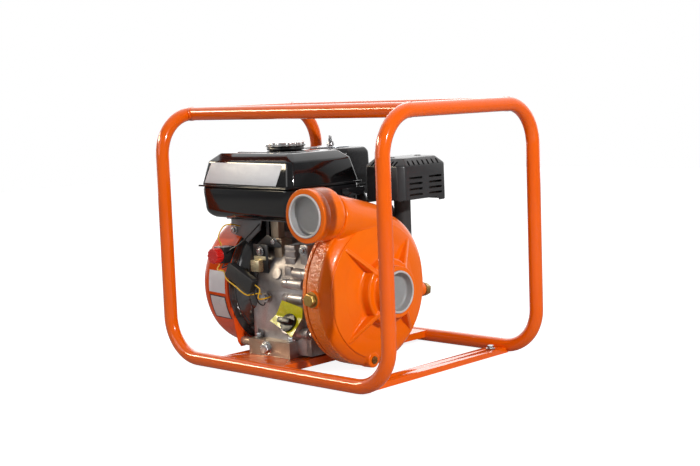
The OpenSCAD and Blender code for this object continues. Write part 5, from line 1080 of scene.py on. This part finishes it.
wire_width = 2.2
yellow, black = (yellow_jacket, "yellow_plastic", "yellow_wires"), (black_jacket, "black_rubber", "black_wires")
for name, kind, route, settings in (
    ("yellow_bracket_wire", yellow,
     [(-150, -142, 194.4), (-153, -145, 210), (-149, -136, 226), (-142, -124, 228), (-138, -110.5, 224)], {}),
    ("yellow_earth_wire", yellow,
     [(-150, -146, 165.6), (-152, -152, 156), beside_unit(-37.2, -8, 3.96), beside_unit(-25.2, -15.4, 6),
      beside_unit(0, -15.4, 7), beside_unit(25.2, -16.7, 5), (-87, -121.4, 118), (-80.3, -117.7, 112.5)],
     {"samples": 40}),
    ("yellow_loop_wire", yellow,
     [beside_unit(33.2, 5), beside_unit(45.2, 3), beside_unit(48.2, -12), (-62, -120.4, 114),
      (-71.7, -117.7, 113)], {}),
    ("black_coil_wire", black, [(-134.6, -142, 184), (-124, -146, 190), (-104, -136, 204), (-90, -106, 233)], {}),
    ("black_link_wire", black, [(-140, -147, 165.6), (-139, -152, 160), beside_unit(-33.2, 6)], {"free": False}),
    ("black_earth_wire", black,
     [beside_unit(33.2, -6), (-74, -135.4, 106), (-77, -121.4, 100), (-77, -117.7, 107.7)], {}),
):
    laid_cord(name, route, wire_width, *kind, "limp", **settings)

# OIL PLUG AND TAG
# A plug moulded in black plastic with a grip bar and dipstick, screwed into the crankcase.
# A plain lime-yellow card tag with a punched hole hangs on it.
ready(eased("moulded_oil_plug", "oil_filler_plug", 0.9), satin_black, "black_plastic", "oil_filler_plug",
      body="oil_plug")
tag_lime = finish("tag_lime", moulded, 0.3, 0.0014, Colour=(0.88, 0.80, 0.012), Worn_colour=(0.52, 0.52, 0.008),
                  Gloss=0.26, Grain_size=160.0)
tag = started("blank_card_tag", bpy.ops.mesh.primitive_grid_add, x_subdivisions=24, y_subdivisions=24, size=1)
corners = (Vector((-58, 77)), Vector((2, 58)), Vector((14, 103)), Vector((-28, 113)))
fold_z, lean_z = 77.2, 9
for point in tag.data.vertices:
    u, v = point.co.x + 0.5, point.co.y + 0.5
    x, z = corners[0].lerp(corners[1], u).lerp(corners[3].lerp(corners[2], u), v)
    lean = 0.577 * min(z - fold_z, lean_z) - 0.18 * max(0, z - fold_z - lean_z)
    point.co = Vector((x, -127.2 + lean + 0.9 * math.sin(0.11 * x + 0.07 * z), z)) * MM
hole = turned("hole", [(0, 0), (0, 13.5), (40, 13.5), (40, 0)], (-14, -108, 66), (0, -0.86603, 0.5), steps=32)
applied(tag, "SOLIDIFY", thickness=0.5 * MM, offset=0)
cut(tag, hole)
ready(tag, tag_lime, "yellow_plastic", smooth=60)

# BOLTS
# Hexagon bolts of plated steel, most with a washer.
# They hold the feet, bar, cover, flange, casing, duct and starter, and close the drain.
feet = [(x, y) for x in (-96.75, -21.25) for y in (-115, 47)]
heads = [(7.4, 5.5, 9.5, (x, y, 46.6), UP) for x, y in feet]
heads += [(7.4, 5, 0, (x, y, 17), DOWN) for x, y in feet]
heads += [(5.5, 4, 7.5, (172, y, 10.6), UP) for y in (-148.5, 148.5)]
heads += [(5.5, 4, 7, round_shaft(21.6, 81, a), RIGHT) for a in (20, 90, 160)]
heads += [(5.5, 4, 7, (21.6, crank_y + y, 61), RIGHT) for y in (-81, 81)]
heads += [(9.2, 6, 11.5, (-64, -132.6, 32.5), FRONT), (5.5, 4, 8, (-76, -119.8, 112), FRONT)]
heads += [(7.4, 5.5, 0, (53.2, crank_y + y, crank_z + z), RIGHT) for y in (-46, 46) for z in (-46, 46)]
heads += [(5.6, 4.5, 8, round_shaft(42.3, 110, 22.5 + 45 * i), LEFT) for i in range(8)]
heads += [(5.5, 4, 0, round_shaft(-115.1, 62, a), LEFT) for a in (40, 140, 215, 325)]
heads += [(4.6, 3.5, 7, round_shaft(-225.6, 77, a), LEFT) for a in (80, 200, 320)]
heads += [(4.8, 3.5, 7, (-152, -111.7, 217), FRONT), (4.8, 3.6, 7, (-71, -98.8, 200), FRONT),
          (5.2, 3.6, 8, (-91, -112.7, 185), FRONT), (5.2, 3.6, 7.5, (-4, -101.7, 190), FRONT)]
made = [hexagon_head("head", *head, turn=0.37 * i) for i, head in enumerate(heads)]
studs = [turned("stud", [(194, 0), (194, 3), (237.4, 3), (237.4, 0)], (x, -54, 0), UP, steps=20) for x in (-88, -22)]
ready(joined("plated_bolts", *made, *studs), zinc, "bright_steel", "bolts", smooth=30)

# RUNNING GEAR
# Inside the engine and pump: forged crank and cams, an alloy piston, an iron rod and flywheel, a bronze
# impeller, and the seals on the shaft. They keep the CAD shapes, with the metal each is made of.
forged = finish("forged_steel", plated, 0.1, 0.0002, Colour=(0.38, 0.37, 0.36), Tarnish=(0.20, 0.18, 0.16),
                Gloss=0.3, Stain=0.5, Metallic=1.0)
iron = finish("cast_iron", cast_skin, 0.3, 0.0005, Colour=(0.13, 0.13, 0.13), Grime=(0.07, 0.06, 0.055), Gloss=0.55,
              Grime_share=0.6, Metallic=0.6)
bronze = finish("cast_bronze", cast_skin, 0.2, 0.0004, Colour=(0.42, 0.25, 0.09), Grime=(0.20, 0.12, 0.05),
                Gloss=0.4, Grime_share=0.5, Metallic=0.9)
seal_brown = finish("seal_rubber", moulded, 0.1, 0.0002, Colour=(0.12, 0.05, 0.02),
                    Worn_colour=(0.08, 0.035, 0.015), Gloss=0.5, Grain_size=900.0)
for material, names in (
    (forged, ("crankshaft", "camshaft", "crank_bearings", "wrist_pin", "crank_pin", "starter_cup", "seal_ring")),
    (iron, ("flywheel", "connecting_rod")),
    (bright_cast, ("piston",)),
    (bronze, ("impeller",)),
    (seal_brown, ("oil_seals",)),
    (glazed, ("seal_seat",)),
):
    for name in names:
        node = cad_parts[name]
        if not node.material_slots:
            node.data.materials.append(material)
        for held in node.material_slots:
            held.material = material
